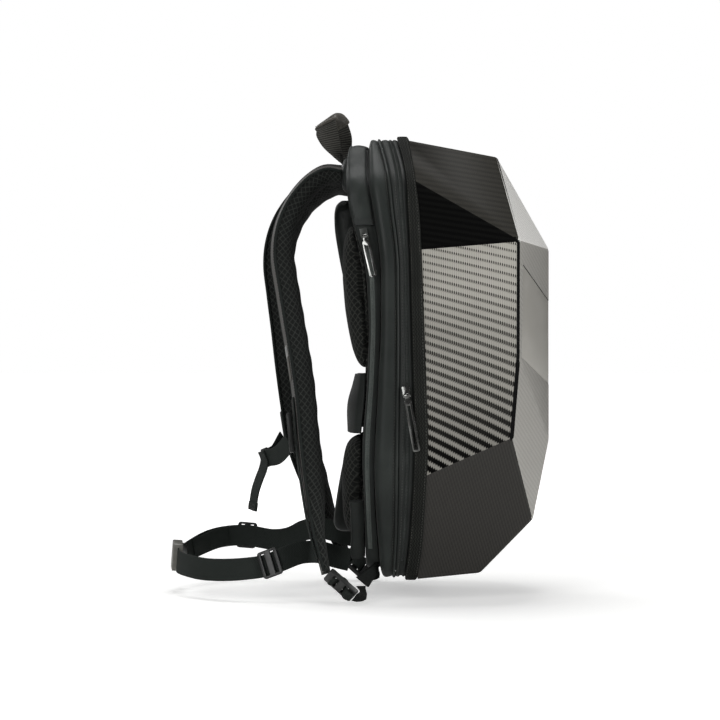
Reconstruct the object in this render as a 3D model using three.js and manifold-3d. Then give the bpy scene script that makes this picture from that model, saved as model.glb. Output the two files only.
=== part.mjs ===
// Hard-shell backpack with a display in its faceted front, straps and waist belt as worn.
// Millimetres. +Z is up, -Y is the shell's front, +Y is towards the wearer, -X is the wearer's left.
// The origin is the middle of the back panel, where the wearer's back sits.
import * as THREE from 'three';
import { mergeVertices } from 'three/addons/utils/BufferGeometryUtils.js';
import Module from 'manifold-3d';

const wasm = await Module();
wasm.setup();

// Driving dimensions
const bodyHeight = 492;
const bodyWidth = 320;
const frontReach = 230; // origin to the shell's flat front face
const gap = 0.3; // between pieces that touch
const seam = gap / 2;
const clothWall = 2;
const bandWall = 2.6;
const trimProud = 1.2;
const trimDepth = 6;
const trimEdge = 1.6;
const rearInset = 11.5; // rear compartment's side in from the trim
const shellWall = 2.6;
const pipingRadius = 1.5;
const zipperWidth = 5;
const zipperProud = 0.8;
const panelThickness = 1.1;
const panelRecess = 0.25;
const panelSeam = 0.6;

const halfWidth = bodyWidth / 2;
const halfHeight = bodyHeight / 2;

const V = (x, y, z) => new THREE.Vector3(x, y, z);
const lerp = (a, b, t) => a + (b - a) * t;

// Finishes
const finishes = {
  coatedFabric: { color: 0x2b302e, roughness: 0.62, metalness: 0 },
  mesh: { color: 0x202423, roughness: 0.9, metalness: 0 },
  webbing: { color: 0x262927, roughness: 0.8, metalness: 0 },
  binding: { color: 0x1c1e1d, roughness: 0.85, metalness: 0 },
  carbonShell: { color: 0x55524f, roughness: 0.35, metalness: 0.2 },
  displayGlass: { color: 0x08090a, roughness: 0.12, metalness: 0 },
  smoothPanel: { color: 0x8f8c85, roughness: 0.3, metalness: 0.1 },
  plastic: { color: 0x1d201f, roughness: 0.5, metalness: 0 },
  darkChrome: { color: 0x4a4c4e, roughness: 0.25, metalness: 0.9 },
  grip: { color: 0x4b4d49, roughness: 0.55, metalness: 0 },
};

const backpack = new THREE.Group();

function addPiece(name, geometry, finish) {
  const mesh = new THREE.Mesh(geometry, new THREE.MeshStandardMaterial(finishes[finish]));
  mesh.name = name;
  backpack.add(mesh);
  return mesh;
}

// Builds a closed geometry from points and triangles, and turns it outwards.
function closedGeometry(points, triangles) {
  let volume = 0;
  for (const [a, b, c] of triangles) {
    volume += points[a].dot(points[b].clone().cross(points[c]));
  }
  const geometry = new THREE.BufferGeometry();
  const positions = points.flatMap((p) => [p.x, p.y, p.z]);
  geometry.setAttribute('position', new THREE.Float32BufferAttribute(positions, 3));
  geometry.setIndex(triangles.flatMap(([a, b, c]) => (volume < 0 ? [a, c, b] : [a, b, c])));
  return geometry;
}

const foldMargin = 0.01;

// Joins rings of equal length into a skin. A ring of one point closes the skin there.
function loft(rings, joined = false) {
  const points = [];
  const starts = [];
  for (const ring of rings) {
    starts.push(points.length);
    points.push(...ring);
  }
  const triangles = [];
  const pairs = joined ? rings.length : rings.length - 1;
  for (let i = 0; i < pairs; i += 1) {
    const j = (i + 1) % rings.length;
    const count = Math.max(rings[i].length, rings[j].length);
    for (let k = 0; k < count; k += 1) {
      const next = (k + 1) % count;
      const a = starts[i] + (rings[i].length > 1 ? k : 0);
      const b = starts[i] + (rings[i].length > 1 ? next : 0);
      const c = starts[j] + (rings[j].length > 1 ? next : 0);
      const d = starts[j] + (rings[j].length > 1 ? k : 0);
      if (rings[i].length > 1 && rings[j].length > 1) {
        // Each quad folds along its shorter diagonal, so that two walls side by side fold alike
        const folded = points[b].distanceTo(points[d]) < points[a].distanceTo(points[c]) - foldMargin;
        triangles.push(...(folded ? [[a, b, d], [b, c, d]] : [[a, b, c], [a, c, d]]));
      } else {
        triangles.push(rings[i].length > 1 ? [a, b, c] : [a, c, d]);
      }
    }
  }
  return closedGeometry(points, triangles);
}

function centroid(ring) {
  const sum = V(0, 0, 0);
  for (const p of ring) sum.add(p);
  return sum.divideScalar(ring.length);
}

function cappedLoft(rings) {
  return loft([[centroid(rings[0])], ...rings, [centroid(rings[rings.length - 1])]]);
}

// Booleans
function toManifold(geometry) {
  const bare = geometry.clone();
  bare.deleteAttribute('normal');
  bare.deleteAttribute('uv');
  const welded = mergeVertices(bare, 1e-5);
  return new wasm.Manifold(
    new wasm.Mesh({
      numProp: 3,
      vertProperties: new Float32Array(welded.attributes.position.array),
      triVerts: new Uint32Array(welded.index.array),
    }),
  );
}

function toGeometry(manifold) {
  const mesh = manifold.getMesh();
  const geometry = new THREE.BufferGeometry();
  geometry.setAttribute('position', new THREE.BufferAttribute(mesh.vertProperties, 3));
  geometry.setIndex(new THREE.BufferAttribute(mesh.triVerts, 1));
  return geometry;
}

// Body outline seen from the front: corners as shares of half the width and half the height
const outlineCorners = [
  { x: 0.6, z: 1, radius: 26 },
  { x: 0.91, z: 0.8, radius: 45 },
  { x: 1, z: 0.49, radius: 80 },
  { x: 1, z: -0.5, radius: 80 },
  { x: 0.66, z: -0.985, radius: 34 },
];
const arcSteps = 2;
const longestRun = 80;

function roundedLoop(corners, steps, run) {
  const loop = [];
  corners.forEach((corner, i) => {
    const before = corners[(i + corners.length - 1) % corners.length];
    const after = corners[(i + 1) % corners.length];
    const inward = new THREE.Vector2(corner.x - before.x, corner.z - before.z).normalize();
    const outward = new THREE.Vector2(after.x - corner.x, after.z - corner.z).normalize();
    const turn = Math.acos(THREE.MathUtils.clamp(inward.dot(outward), -1, 1));
    const cut = corner.radius * Math.tan(turn / 2);
    const startNormal = new THREE.Vector2(-inward.y, inward.x);
    const endNormal = new THREE.Vector2(-outward.y, outward.x);
    const centre = new THREE.Vector2(corner.x, corner.z)
      .addScaledVector(inward, -cut)
      .addScaledVector(startNormal, -corner.radius);
    for (let s = 0; s <= steps; s += 1) {
      const t = s / steps;
      const normal = startNormal.clone().multiplyScalar(Math.sin((1 - t) * turn));
      normal.addScaledVector(endNormal, Math.sin(t * turn)).normalize();
      loop.push({
        x: centre.x + normal.x * corner.radius,
        z: centre.y + normal.y * corner.radius,
        nx: normal.x,
        nz: normal.y,
      });
    }
  });
  const fine = [];
  loop.forEach((p, i) => {
    const q = loop[(i + 1) % loop.length];
    const parts = Math.max(1, Math.round(Math.hypot(q.x - p.x, q.z - p.z) / run));
    fine.push(p);
    for (let s = 1; s < parts; s += 1) {
      const t = s / parts;
      fine.push({ x: lerp(p.x, q.x, t), z: lerp(p.z, q.z, t), nx: p.nx, nz: p.nz });
    }
  });
  return fine;
}

function bodyOutline() {
  const right = outlineCorners.map((c) => ({
    x: c.x * halfWidth,
    z: c.z * halfHeight,
    radius: c.radius,
  }));
  const left = right.map((c) => ({ ...c, x: -c.x })).reverse();
  return roundedLoop([...left, ...right], arcSteps, longestRun);
}

const outline = bodyOutline();

// Where each band of the side lies, as shares of the front reach, by height share
const bandTable = [
  { z: 1.02, rear: 0.035, groove: 0.13, piping: 0.175, trimRear: 0.262, trimFront: 0.32 },
  { z: 0.82, rear: 0.035, groove: 0.14, piping: 0.238, trimRear: 0.322, trimFront: 0.366 },
  { z: 0.65, rear: 0.06, groove: 0.17, piping: 0.262, trimRear: 0.335, trimFront: 0.39 },
  { z: 0.47, rear: 0.12, groove: 0.2, piping: 0.286, trimRear: 0.346, trimFront: 0.402 },
  { z: 0.25, rear: 0.145, groove: 0.207, piping: 0.291, trimRear: 0.352, trimFront: 0.41 },
  { z: -0.08, rear: 0.142, groove: 0.196, piping: 0.291, trimRear: 0.361, trimFront: 0.422 },
  { z: -0.35, rear: 0.122, groove: 0.18, piping: 0.287, trimRear: 0.368, trimFront: 0.433 },
  { z: -0.65, rear: 0.122, groove: 0.176, piping: 0.28, trimRear: 0.352, trimFront: 0.415 },
  { z: -0.92, rear: 0.12, groove: 0.188, piping: 0.262, trimRear: 0.32, trimFront: 0.383 },
  { z: -1.02, rear: 0.118, groove: 0.19, piping: 0.25, trimRear: 0.3, trimFront: 0.357 },
];

function band(column, z) {
  const share = z / halfHeight;
  let i = 0;
  while (i < bandTable.length - 2 && bandTable[i + 1].z > share) i += 1;
  const above = bandTable[i];
  const below = bandTable[i + 1];
  const t = THREE.MathUtils.clamp((above.z - share) / (above.z - below.z), 0, 1);
  return -frontReach * lerp(above[column], below[column], t);
}

// A ring round the outline: how far in from it, and how far back at each height
function ringAt(inset, yAt, points = outline) {
  return points.map((p) => {
    const z = p.z - p.nz * inset;
    return V(p.x - p.nx * inset, yAt(z), z);
  });
}

function shrunkRing(ring, share, yAt) {
  return ring.map((p) => V(p.x * share, yAt(p.z * share), p.z * share));
}

const capShares = [0.33, 0.67];

function capRings(ring, yAt) {
  return [[V(0, yAt(0), 0)], ...capShares.map((share) => shrunkRing(ring, share, yAt)), ring];
}

// A bag: a cup whose back is closed and whose front is open
function bagGeometry(outside, inside, yOut, yIn) {
  const rings = [...capRings(outside[0], yOut), ...outside.slice(1)];
  const inner = [...inside.slice(0, -1), ...capRings(inside[inside.length - 1], yIn).reverse()];
  return loft([...rings, ...inner]);
}

const between = (a, b, share) => (z) => lerp(band(a, z), band(b, z), share);
const offset = (column, by) => (z) => band(column, z) + by;

function hoopGeometry(section) {
  return loft(section.map(({ inset, y }) => ringAt(inset, y)), true);
}

// The outline between two heights, on one side or, when side is 0, over the top
function outlinePart(zLow, zHigh, side) {
  const within = (z) => z > zLow && z < zHigh;
  const onSide = (p) => side === 0 || p.x * side > 0;
  const walk = [];
  outline.forEach((p, i) => {
    const q = outline[(i + 1) % outline.length];
    if (within(p.z) && onSide(p)) walk.push(p);
    const crossings = [zLow, zHigh]
      .filter((z) => (p.z - z) * (q.z - z) < 0 && onSide(p))
      .map((z) => (z - p.z) / (q.z - p.z))
      .sort((a, b) => a - b);
    for (const t of crossings) {
      const z = lerp(p.z, q.z, t);
      const ahead = lerp(p.z, q.z, Math.min(t + 1e-4, 1));
      const normal = new THREE.Vector2(lerp(p.nx, q.nx, t), lerp(p.nz, q.nz, t)).normalize();
      walk.push({ x: lerp(p.x, q.x, t), z, nx: normal.x, nz: normal.y, starts: within(ahead) });
    }
  });
  const start = walk.findIndex((p) => p.starts);
  return [...walk.slice(start), ...walk.slice(0, start)];
}

function partHoopGeometry(section, zLow, zHigh, side) {
  const stations = outlinePart(zLow, zHigh, side).map((p) =>
    section.map(({ inset, y }) => {
      const z = p.z - p.nz * inset;
      return V(p.x - p.nx * inset, y(z), z);
    }),
  );
  return cappedLoft(stations);
}

// Main compartment: padded gusset and the wall behind it
function buildMainBody() {
  const groove = offset('groove', -seam);
  const rim = offset('piping', pipingRadius + seam);
  const outside = [
    ringAt(15, groove),
    ringAt(8, between('groove', 'piping', 0.1)),
    ringAt(4, between('groove', 'piping', 0.28)),
    ringAt(2.4, between('groove', 'piping', 0.6)),
    ringAt(3.4, rim),
  ];
  const inside = [
    ringAt(3.4 + clothWall, rim),
    ringAt(2.4 + clothWall, between('groove', 'piping', 0.6)),
    ringAt(8 + clothWall, between('groove', 'piping', 0.28)),
    ringAt(15 + clothWall, offset('groove', -seam - clothWall)),
  ];
  addPiece('main_body', bagGeometry(outside, inside, groove, offset('groove', -seam - clothWall)), 'coatedFabric');
}

// Laptop compartment at the wearer's side
function rearOutside(grown = 0) {
  const inset = rearInset - grown;
  return [
    ringAt(inset + 8, offset('rear', 0)),
    ringAt(inset + 2.5, offset('rear', -1.6)),
    ringAt(inset, between('rear', 'groove', 0.4)),
    ringAt(inset + 1.5, offset('groove', seam)),
  ];
}

// The compartment as a filled block, moved towards the wearer and grown sideways: what lies on
// its back or its side is cut by it
function rearBlock(out, grown = 0) {
  const sides = rearOutside(grown);
  const rings = [...capRings(sides[0], offset('rear', 0)), ...sides.slice(1)];
  const deep = () => -frontReach / 2;
  const block = loft([...rings, ringAt(rearInset + 1.5 - grown, deep), [V(0, deep(), 0)]]);
  block.translate(0, out, 0);
  return toManifold(block);
}

function buildRearCompartment() {
  const back = offset('rear', 0);
  const innerBack = offset('rear', -clothWall);
  const rim = offset('groove', seam);
  const outside = rearOutside();
  const inside = [
    ringAt(rearInset + 1.5 + clothWall, rim),
    ringAt(rearInset + clothWall, between('rear', 'groove', 0.4)),
    ringAt(rearInset + 8 + clothWall, innerBack),
  ];
  addPiece('rear_compartment', bagGeometry(outside, inside, back, innerBack), 'coatedFabric');
}

function buildBands() {
  const pipe = [0, 1, 2, 3, 4, 5].map((k) => {
    const angle = (k / 6) * Math.PI * 2;
    return {
      inset: 2.6 - Math.cos(angle) * pipingRadius,
      y: offset('piping', Math.sin(angle) * pipingRadius),
    };
  });
  addPiece('piping', hoopGeometry(pipe), 'coatedFabric');

  const zipRear = offset('piping', -pipingRadius - seam);
  const zipFront = offset('trimRear', seam);
  const zipMiddle = between('piping', 'trimRear', 0.5);
  addPiece(
    'front_zip_band',
    hoopGeometry([
      { inset: 3.6, y: zipRear },
      { inset: 2.6, y: zipMiddle },
      { inset: 3.2, y: zipFront },
      { inset: 3.2 + bandWall, y: zipFront },
      { inset: 3.6 + bandWall, y: zipRear },
    ]),
    'coatedFabric',
  );

  const trimBack = offset('trimRear', -seam);
  const trimFace = offset('trimFront', seam);
  addPiece(
    'shell_trim',
    hoopGeometry([
      { inset: trimEdge, y: trimBack },
      { inset: -trimProud, y: between('trimRear', 'trimFront', 0.2) },
      { inset: -trimProud, y: between('trimRear', 'trimFront', 0.8) },
      { inset: trimEdge, y: trimFace },
      { inset: trimDepth, y: trimFace },
      { inset: trimDepth, y: trimBack },
    ]),
    'binding',
  );
}

// Zippers lie on their bands
const rearZipperTop = 0.58;
const rearZipperFoot = -0.86;
const frontZipperFoot = -0.9;

function zipperSection(centre, surface) {
  const half = zipperWidth / 2;
  return [
    { inset: surface - gap, y: (z) => centre(z) + half },
    { inset: surface - gap - zipperProud, y: (z) => centre(z) + half * 0.6 },
    { inset: surface - gap - zipperProud, y: (z) => centre(z) - half * 0.6 },
    { inset: surface - gap, y: (z) => centre(z) - half },
  ];
}

const rearZipperLine = between('rear', 'groove', 0.42);
const frontZipperLine = between('piping', 'trimRear', 0.6);

function buildZippers() {
  const rearSection = zipperSection(rearZipperLine, rearInset);
  for (const [side, word] of [[-1, 'left'], [1, 'right']]) {
    const strip = partHoopGeometry(rearSection, rearZipperFoot * halfHeight, rearZipperTop * halfHeight, side);
    addPiece(`rear_zipper_${word}`, strip, 'webbing');
  }
  const frontSection = zipperSection(frontZipperLine, 2.7);
  addPiece('front_zipper', partHoopGeometry(frontSection, frontZipperFoot * halfHeight, halfHeight * 2, 0), 'webbing');
}

// Fabric hood over the top of the laptop compartment, down to a hem on each side
const hoodHem = 0.6;

function buildTopHood() {
  const inner = rearInset - gap;
  addPiece(
    'top_hood',
    partHoopGeometry(
      [
        { inset: inner + 0.9, y: offset('groove', 1.4) },
        { inset: inner - clothWall, y: offset('groove', 2.2) },
        { inset: inner - clothWall - 1, y: between('rear', 'groove', 0.45) },
        { inset: inner - clothWall + 1, y: offset('rear', -2.2) },
        { inset: inner + 2, y: offset('rear', -3) },
        { inset: inner, y: between('rear', 'groove', 0.4) },
      ],
      hoodHem * halfHeight,
      halfHeight * 2,
      0,
    ),
    'coatedFabric',
  );
}

// Hard shell: flat facets given by three corners each. Corners are shares of half the width,
// the front reach and half the height, for the wearer's left half.
const shellCorners = {
  crown: { x: 0.6, y: 0.343, z: 0.982 },
  brow: { x: 0.275, y: 0.748, z: 0.927 },
  temple: { x: 0.845, y: 0.858, z: 0.527 },
  shoulder: { x: 0.9, y: 0.368, z: 0.79 },
  flankTop: { x: 0.981, y: 0.403, z: 0.489 },
  flankFoot: { x: 0.981, y: 0.431, z: -0.502 },
  cheek: { x: 0.862, y: 0.825, z: -0.342 },
  jaw: { x: 0.507, y: 0.923, z: -0.715 },
  chin: { x: 0.47, y: 0.669, z: -0.961 },
  heel: { x: 0.637, y: 0.374, z: -0.98 },
  faceTop: { x: 0.365, y: 1, z: 0.502 },
  faceFoot: { x: 0.365, y: 1, z: -0.364 },
};

function shellCorner(name, side, inward = 0) {
  const { x, y, z } = shellCorners[name];
  return V(side * x * (halfWidth - inward), -y * (frontReach - inward), z * (halfHeight - inward));
}

const sideFacets = [
  ['crown', 'shoulder', 'temple'],
  ['shoulder', 'temple', 'flankTop'],
  ['flankTop', 'temple', 'cheek'],
  ['brow', 'faceTop', 'temple'],
  ['temple', 'faceTop', 'faceFoot'],
  ['flankFoot', 'cheek', 'jaw'],
  ['cheek', 'faceFoot', 'jaw'],
];
// These facets cross the middle: the first two corners on the left, the third on the right
const middleFacets = [
  ['crown', 'brow', 'crown'],
  ['brow', 'faceTop', 'faceTop'],
  ['faceTop', 'faceFoot', 'faceFoot'],
  ['faceFoot', 'jaw', 'jaw'],
  ['jaw', 'chin', 'chin'],
  ['chin', 'heel', 'heel'],
];
const blockSize = 900;

// A block whose one face lies on the plane of three corners, on the outer side of the shell
function outerBlock(a, b, c) {
  const normal = b.clone().sub(a).cross(c.clone().sub(a)).normalize();
  const middle = V(0, -frontReach * 0.45, 0);
  if (normal.dot(a.clone().sub(middle)) < 0) normal.negate();
  const block = new THREE.BoxGeometry(blockSize, blockSize, blockSize);
  block.applyQuaternion(new THREE.Quaternion().setFromUnitVectors(V(0, 0, 1), normal));
  const centre = a.clone().addScaledVector(normal, blockSize / 2);
  block.translate(centre.x, centre.y, centre.z);
  return toManifold(block);
}

function facetedBlock(inward) {
  const start = new THREE.BoxGeometry(bodyWidth * 1.2, frontReach * 1.2, bodyHeight * 1.2);
  start.translate(0, -frontReach * 0.7, 0);
  let solid = toManifold(start);
  const planes = middleFacets.map(([a, b, c]) => [
    shellCorner(a, -1, inward),
    shellCorner(b, -1, inward),
    shellCorner(c, 1, inward),
  ]);
  for (const side of [-1, 1]) {
    for (const names of sideFacets) planes.push(names.map((name) => shellCorner(name, side, inward)));
  }
  for (const [a, b, c] of planes) solid = solid.subtract(outerBlock(a, b, c));
  return solid;
}

// Everything behind the trim's front face
function behindTrim() {
  const face = offset('trimFront', -seam);
  const inner = ringAt(trimDepth, face);
  const outer = ringAt(trimEdge, face);
  const far = ringAt(-bodyWidth / 4, face);
  const back = far.map((p) => V(p.x, frontReach, p.z));
  return toManifold(loft([...capRings(inner, face), outer, far, back, [V(0, frontReach, 0)]]));
}

// A point of the window facet's plane at a place seen from the front
function windowPoint(side, x, z) {
  const a = shellCorner('temple', side);
  const b = shellCorner('faceTop', side);
  const c = shellCorner('faceFoot', side);
  const normal = b.clone().sub(a).cross(c.sub(a));
  const point = V(side * x * halfWidth, 0, z * halfHeight);
  point.y = a.y - (normal.x * (point.x - a.x) + normal.z * (point.z - a.z)) / normal.y;
  return point;
}

// Display: outer top, inner top, inner foot and outer foot corners of each wing, as shares
const faceEdge = shellCorners.faceTop.x;
const wingCorners = [
  { x: 0.787, z: 0.422 },
  { x: faceEdge, z: 0.27 },
  { x: faceEdge, z: -0.11 },
  { x: 0.806, z: 0.009 },
];

// A plate on a flat facet: corners moved in by a seam, from one depth under the facet to another
function plateGeometry(corners, inset, top, depth) {
  const middle = centroid(corners);
  const normal = corners[1].clone().sub(corners[0]).cross(corners[2].clone().sub(corners[0])).normalize();
  if (normal.dot(middle.clone().sub(V(0, -frontReach * 0.45, 0))) < 0) normal.negate();
  const drawn = corners.map((corner, i) => {
    const before = corners[(i + corners.length - 1) % corners.length];
    const after = corners[(i + 1) % corners.length];
    const alongA = before.clone().sub(corner).normalize();
    const alongB = after.clone().sub(corner).normalize();
    const step = inset / alongA.clone().cross(alongB).length();
    return corner.clone().addScaledVector(alongA, step).addScaledVector(alongB, step);
  });
  const upper = drawn.map((p) => p.clone().addScaledVector(normal, -top));
  const lower = drawn.map((p) => p.clone().addScaledVector(normal, -depth));
  return cappedLoft([upper, lower]);
}

function buildShell() {
  const wings = [-1, 1].map((side) => wingCorners.map(({ x, z }) => windowPoint(side, x, z)));
  const face = [wings[0][1], wings[1][1], wings[1][2], wings[0][2]];
  const pocketDepth = panelRecess + panelThickness + gap;
  let shell = facetedBlock(0).subtract(facetedBlock(shellWall)).subtract(behindTrim());
  for (const corners of [...wings, face]) {
    shell = shell.subtract(toManifold(plateGeometry(corners, 0, -pocketDepth, pocketDepth)));
  }
  addPiece('shell', toGeometry(shell), 'carbonShell');
  const plate = (corners) =>
    plateGeometry(corners, panelSeam, panelRecess, panelRecess + panelThickness);
  addPiece('display_wing_left', plate(wings[0]), 'smoothPanel');
  addPiece('display_wing_right', plate(wings[1]), 'smoothPanel');
  addPiece('led_screen', plate(face), 'displayGlass');
}

const padInner = 22;
const padOuter = 128;

// Pads on the back panel: a rounded rectangle seen from the back, with a front profile by height
function padLoop({ left, right, foot, top, radius, taper }) {
  const corners = [
    { x: left + (left < -padInner ? taper : 0), z: foot, radius },
    { x: left, z: top, radius },
    { x: right, z: top, radius },
    { x: right - (right > padInner ? taper : 0), z: foot, radius },
  ];
  return roundedLoop(corners, arcSteps, 48);
}

function profileAt(rows, z) {
  const share = z / halfHeight;
  let i = 0;
  while (i < rows.length - 2 && rows[i + 1].z > share) i += 1;
  const t = THREE.MathUtils.clamp((rows[i].z - share) / (rows[i].z - rows[i + 1].z), 0, 1);
  return lerp(rows[i].y, rows[i + 1].y, t);
}

// A padded slab: it starts inside the wall behind it and is crowned in front, its edges rounded off over a share of its size
function padBlock(area, frontAt, edge, drop) {
  const loop = padLoop(area);
  const back = () => -frontReach / 3;
  const midX = (area.left + area.right) / 2;
  const midZ = (area.foot + area.top) / 2;
  const ring = (share, yAt) =>
    loop.map((p) => {
      const z = lerp(midZ, p.z, share);
      return V(lerp(midX, p.x, share), yAt(z), z);
    });
  const lowered = (by) => (z) => frontAt(z) - by;
  return toManifold(
    loft([
      [V(midX, back(midZ), midZ)],
      ring(1, back),
      ring(1, lowered(drop)),
      ring(1 - edge * 0.35, lowered(drop * 0.4)),
      ring(1 - edge, lowered(drop * 0.08)),
      ring(0.5, lowered(0)),
      [V(midX, frontAt(midZ), midZ)],
    ]),
  );
}

const boardMargin = 4;
const boardThickness = 3;
const spineHalfWidth = 17;
const yokeHalfWidth = 96;
// Heights are shares of half the height; profile rows give the face towards the wearer
const padTable = {
  upperPad: { top: 0.63, foot: -0.05, radius: 26, taper: 0, edge: 0.24, drop: 11 },
  lowerPad: { top: -0.335, foot: -0.79, radius: 24, taper: 30, edge: 0.24, drop: 12 },
  spine: { top: 0.745, foot: 0.2, radius: 12, taper: 0, edge: 0.2, drop: 7 },
  lumbar: { top: -0.4, foot: -0.8, radius: 12, taper: 0, edge: 0.2, drop: 7 },
  yoke: { top: 0.915, foot: 0.76, radius: 14, taper: 0, edge: 0.16, drop: 3 },
  board: { top: 0.645, foot: -0.85, radius: 24, taper: 36, edge: 0.02, drop: 1 },
};
const profiles = {
  upperPad: [
    { z: 0.63, y: -6 },
    { z: 0.5, y: -4.5 },
    { z: 0.2, y: -10 },
    { z: -0.06, y: -18 },
  ],
  lowerPad: [
    { z: -0.33, y: -6 },
    { z: -0.5, y: -2.5 },
    { z: -0.8, y: -3 },
  ],
  spine: [
    { z: 0.76, y: 12 },
    { z: 0.72, y: 15 },
    { z: 0.6, y: 13.5 },
    { z: 0.45, y: 6.5 },
    { z: 0.2, y: -6 },
  ],
  lumbar: [
    { z: -0.4, y: 1 },
    { z: -0.6, y: 9 },
    { z: -0.76, y: 16 },
    { z: -0.8, y: 15 },
  ],
  yoke: [
    { z: 0.92, y: -2.5 },
    { z: 0.86, y: -0.8 },
    { z: 0.75, y: 0 },
  ],
};

function padArea(key, left, right) {
  const { top, foot, radius, taper } = padTable[key];
  return { left, right, foot: foot * halfHeight, top: top * halfHeight, radius, taper };
}

function addPad(name, key, left, right, behind, finish) {
  const { edge, drop } = padTable[key];
  const frontAt = (z) => profileAt(profiles[key], z);
  const block = padBlock(padArea(key, left, right), frontAt, edge, drop);
  addPiece(name, toGeometry(block.subtract(behind)), finish);
}

function buildBackPanel() {
  const wall = rearBlock(gap);
  const boardReach = padOuter + boardMargin;
  const { edge, drop } = padTable.board;
  const boardSlab = padBlock(padArea('board', -boardReach, boardReach), () => frontReach / 4, edge, drop);
  const boardFront = rearBlock(gap + boardThickness);
  addPiece('back_panel', toGeometry(boardSlab.intersect(boardFront).subtract(wall)), 'mesh');

  const board = rearBlock(gap + boardThickness + gap);
  addPad('upper_pad_left', 'upperPad', -padOuter, -padInner, board, 'mesh');
  addPad('upper_pad_right', 'upperPad', padInner, padOuter, board, 'mesh');
  addPad('lower_pad_left', 'lowerPad', -padOuter, -padInner, board, 'mesh');
  addPad('lower_pad_right', 'lowerPad', padInner, padOuter, board, 'mesh');
  addPad('spine_pad', 'spine', -spineHalfWidth, spineHalfWidth, board, 'coatedFabric');
  addPad('lumbar_pad', 'lumbar', -spineHalfWidth, spineHalfWidth, board, 'coatedFabric');
  addPad('yoke_panel', 'yoke', -yokeHalfWidth, yokeHalfWidth, wall, 'coatedFabric');
}

// Soft straps: a flat section swept along stations that hold a point and the two directions of
// the section
function frameRoute(points, acrossHint) {
  const curve = new THREE.CatmullRomCurve3(points, false, 'centripetal');
  return { curve, acrossHint };
}

function stationsAlong(route, steps, twistAt = () => 0) {
  const stations = [];
  for (let i = 0; i <= steps; i += 1) {
    const t = i / steps;
    const point = route.curve.getPointAt(t);
    const tangent = route.curve.getTangentAt(t);
    const hint = route.acrossHint(t);
    const across = hint.clone().addScaledVector(tangent, -hint.dot(tangent)).normalize();
    across.applyAxisAngle(tangent, twistAt(t));
    const out = across.clone().cross(tangent).normalize();
    stations.push({ point, tangent, across, out, t });
  }
  return stations;
}

// Sweeps a section of {a, o} offsets: a across the strap, o out of its face
function sweep(stations, sectionAt) {
  const rings = stations.map((station) =>
    sectionAt(station.t).map(({ a, o }) =>
      station.point.clone().addScaledVector(station.across, a).addScaledVector(station.out, o),
    ),
  );
  return cappedLoft(rings);
}

function flatSection(width, thickness, lift = 0) {
  const half = width / 2;
  return [
    { a: -half, o: lift },
    { a: half, o: lift },
    { a: half, o: lift + thickness },
    { a: -half, o: lift + thickness },
  ];
}

const webbingThickness = 1.6;

// Shoulder straps. Outer face of the left strap: y and z in shares of reach and half height,
// x in shares of half width; the right strap hangs a little off the mirror image.
const strapRoute = [
  { x: 0.4, y: 0.003, z: 0.876, width: 62, thick: 19, shiftY: 0 },
  { x: 0.41, y: 0.085, z: 0.882, width: 64, thick: 20, shiftY: 2 },
  { x: 0.425, y: 0.162, z: 0.846, width: 66, thick: 21, shiftY: 6 },
  { x: 0.44, y: 0.237, z: 0.775, width: 68, thick: 22, shiftY: 11 },
  { x: 0.46, y: 0.3, z: 0.675, width: 69, thick: 23, shiftY: 14 },
  { x: 0.475, y: 0.333, z: 0.57, width: 69, thick: 23, shiftY: 16 },
  { x: 0.49, y: 0.338, z: 0.46, width: 69, thick: 23, shiftY: 18 },
  { x: 0.505, y: 0.315, z: 0.32, width: 69, thick: 23, shiftY: 20 },
  { x: 0.52, y: 0.285, z: 0.155, width: 69, thick: 23, shiftY: 22 },
  { x: 0.54, y: 0.252, z: -0.02, width: 69, thick: 23, shiftY: 25 },
  { x: 0.565, y: 0.224, z: -0.2, width: 68, thick: 22, shiftY: 26 },
  { x: 0.6, y: 0.202, z: -0.4, width: 66, thick: 23, shiftY: 24 },
  { x: 0.65, y: 0.17, z: -0.6, width: 62, thick: 22, shiftY: 15 },
  { x: 0.73, y: 0.13, z: -0.78, width: 52, thick: 17, shiftY: 6 },
  { x: 0.79, y: 0.088, z: -0.905, width: 40, thick: 11, shiftY: 0 },
  { x: 0.8, y: 0.076, z: -0.945, width: 34, thick: 7, shiftY: 0 },
];
const strapSteps = 22;
const coverThickness = 1.8;
const coverOverhang = 1.2;
const strapTwist = 0.16;

function rowValue(rows, column, t) {
  const place = t * (rows.length - 1);
  const i = Math.min(Math.floor(place), rows.length - 2);
  return lerp(rows[i][column], rows[i + 1][column], place - i);
}

function strapFrame(side) {
  const points = strapRoute.map(({ x, y, z, shiftY }) =>
    V(side * x * halfWidth, y * frontReach + (side > 0 ? shiftY : 0), z * halfHeight),
  );
  const route = frameRoute(points, () => V(1, 0, 0));
  return stationsAlong(route, strapSteps, () => side * strapTwist);
}

function strapSection(t) {
  const half = rowValue(strapRoute, 'width', t) / 2;
  const thick = rowValue(strapRoute, 'thick', t);
  const face = -coverThickness - gap;
  return [
    { a: -half, o: face },
    { a: half, o: face },
    { a: half, o: face - thick * 0.4 },
    { a: half * 0.86, o: face - thick * 0.78 },
    { a: half * 0.45, o: face - thick },
    { a: -half * 0.45, o: face - thick },
    { a: -half * 0.86, o: face - thick * 0.78 },
    { a: -half, o: face - thick * 0.4 },
  ];
}

// The webbing sewn on the strap's outer face stands off it between its stitched ends
const daisySpan = { from: 0.6, to: 0.97 };
const daisyWidth = 25;
const daisyLift = 3;

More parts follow.
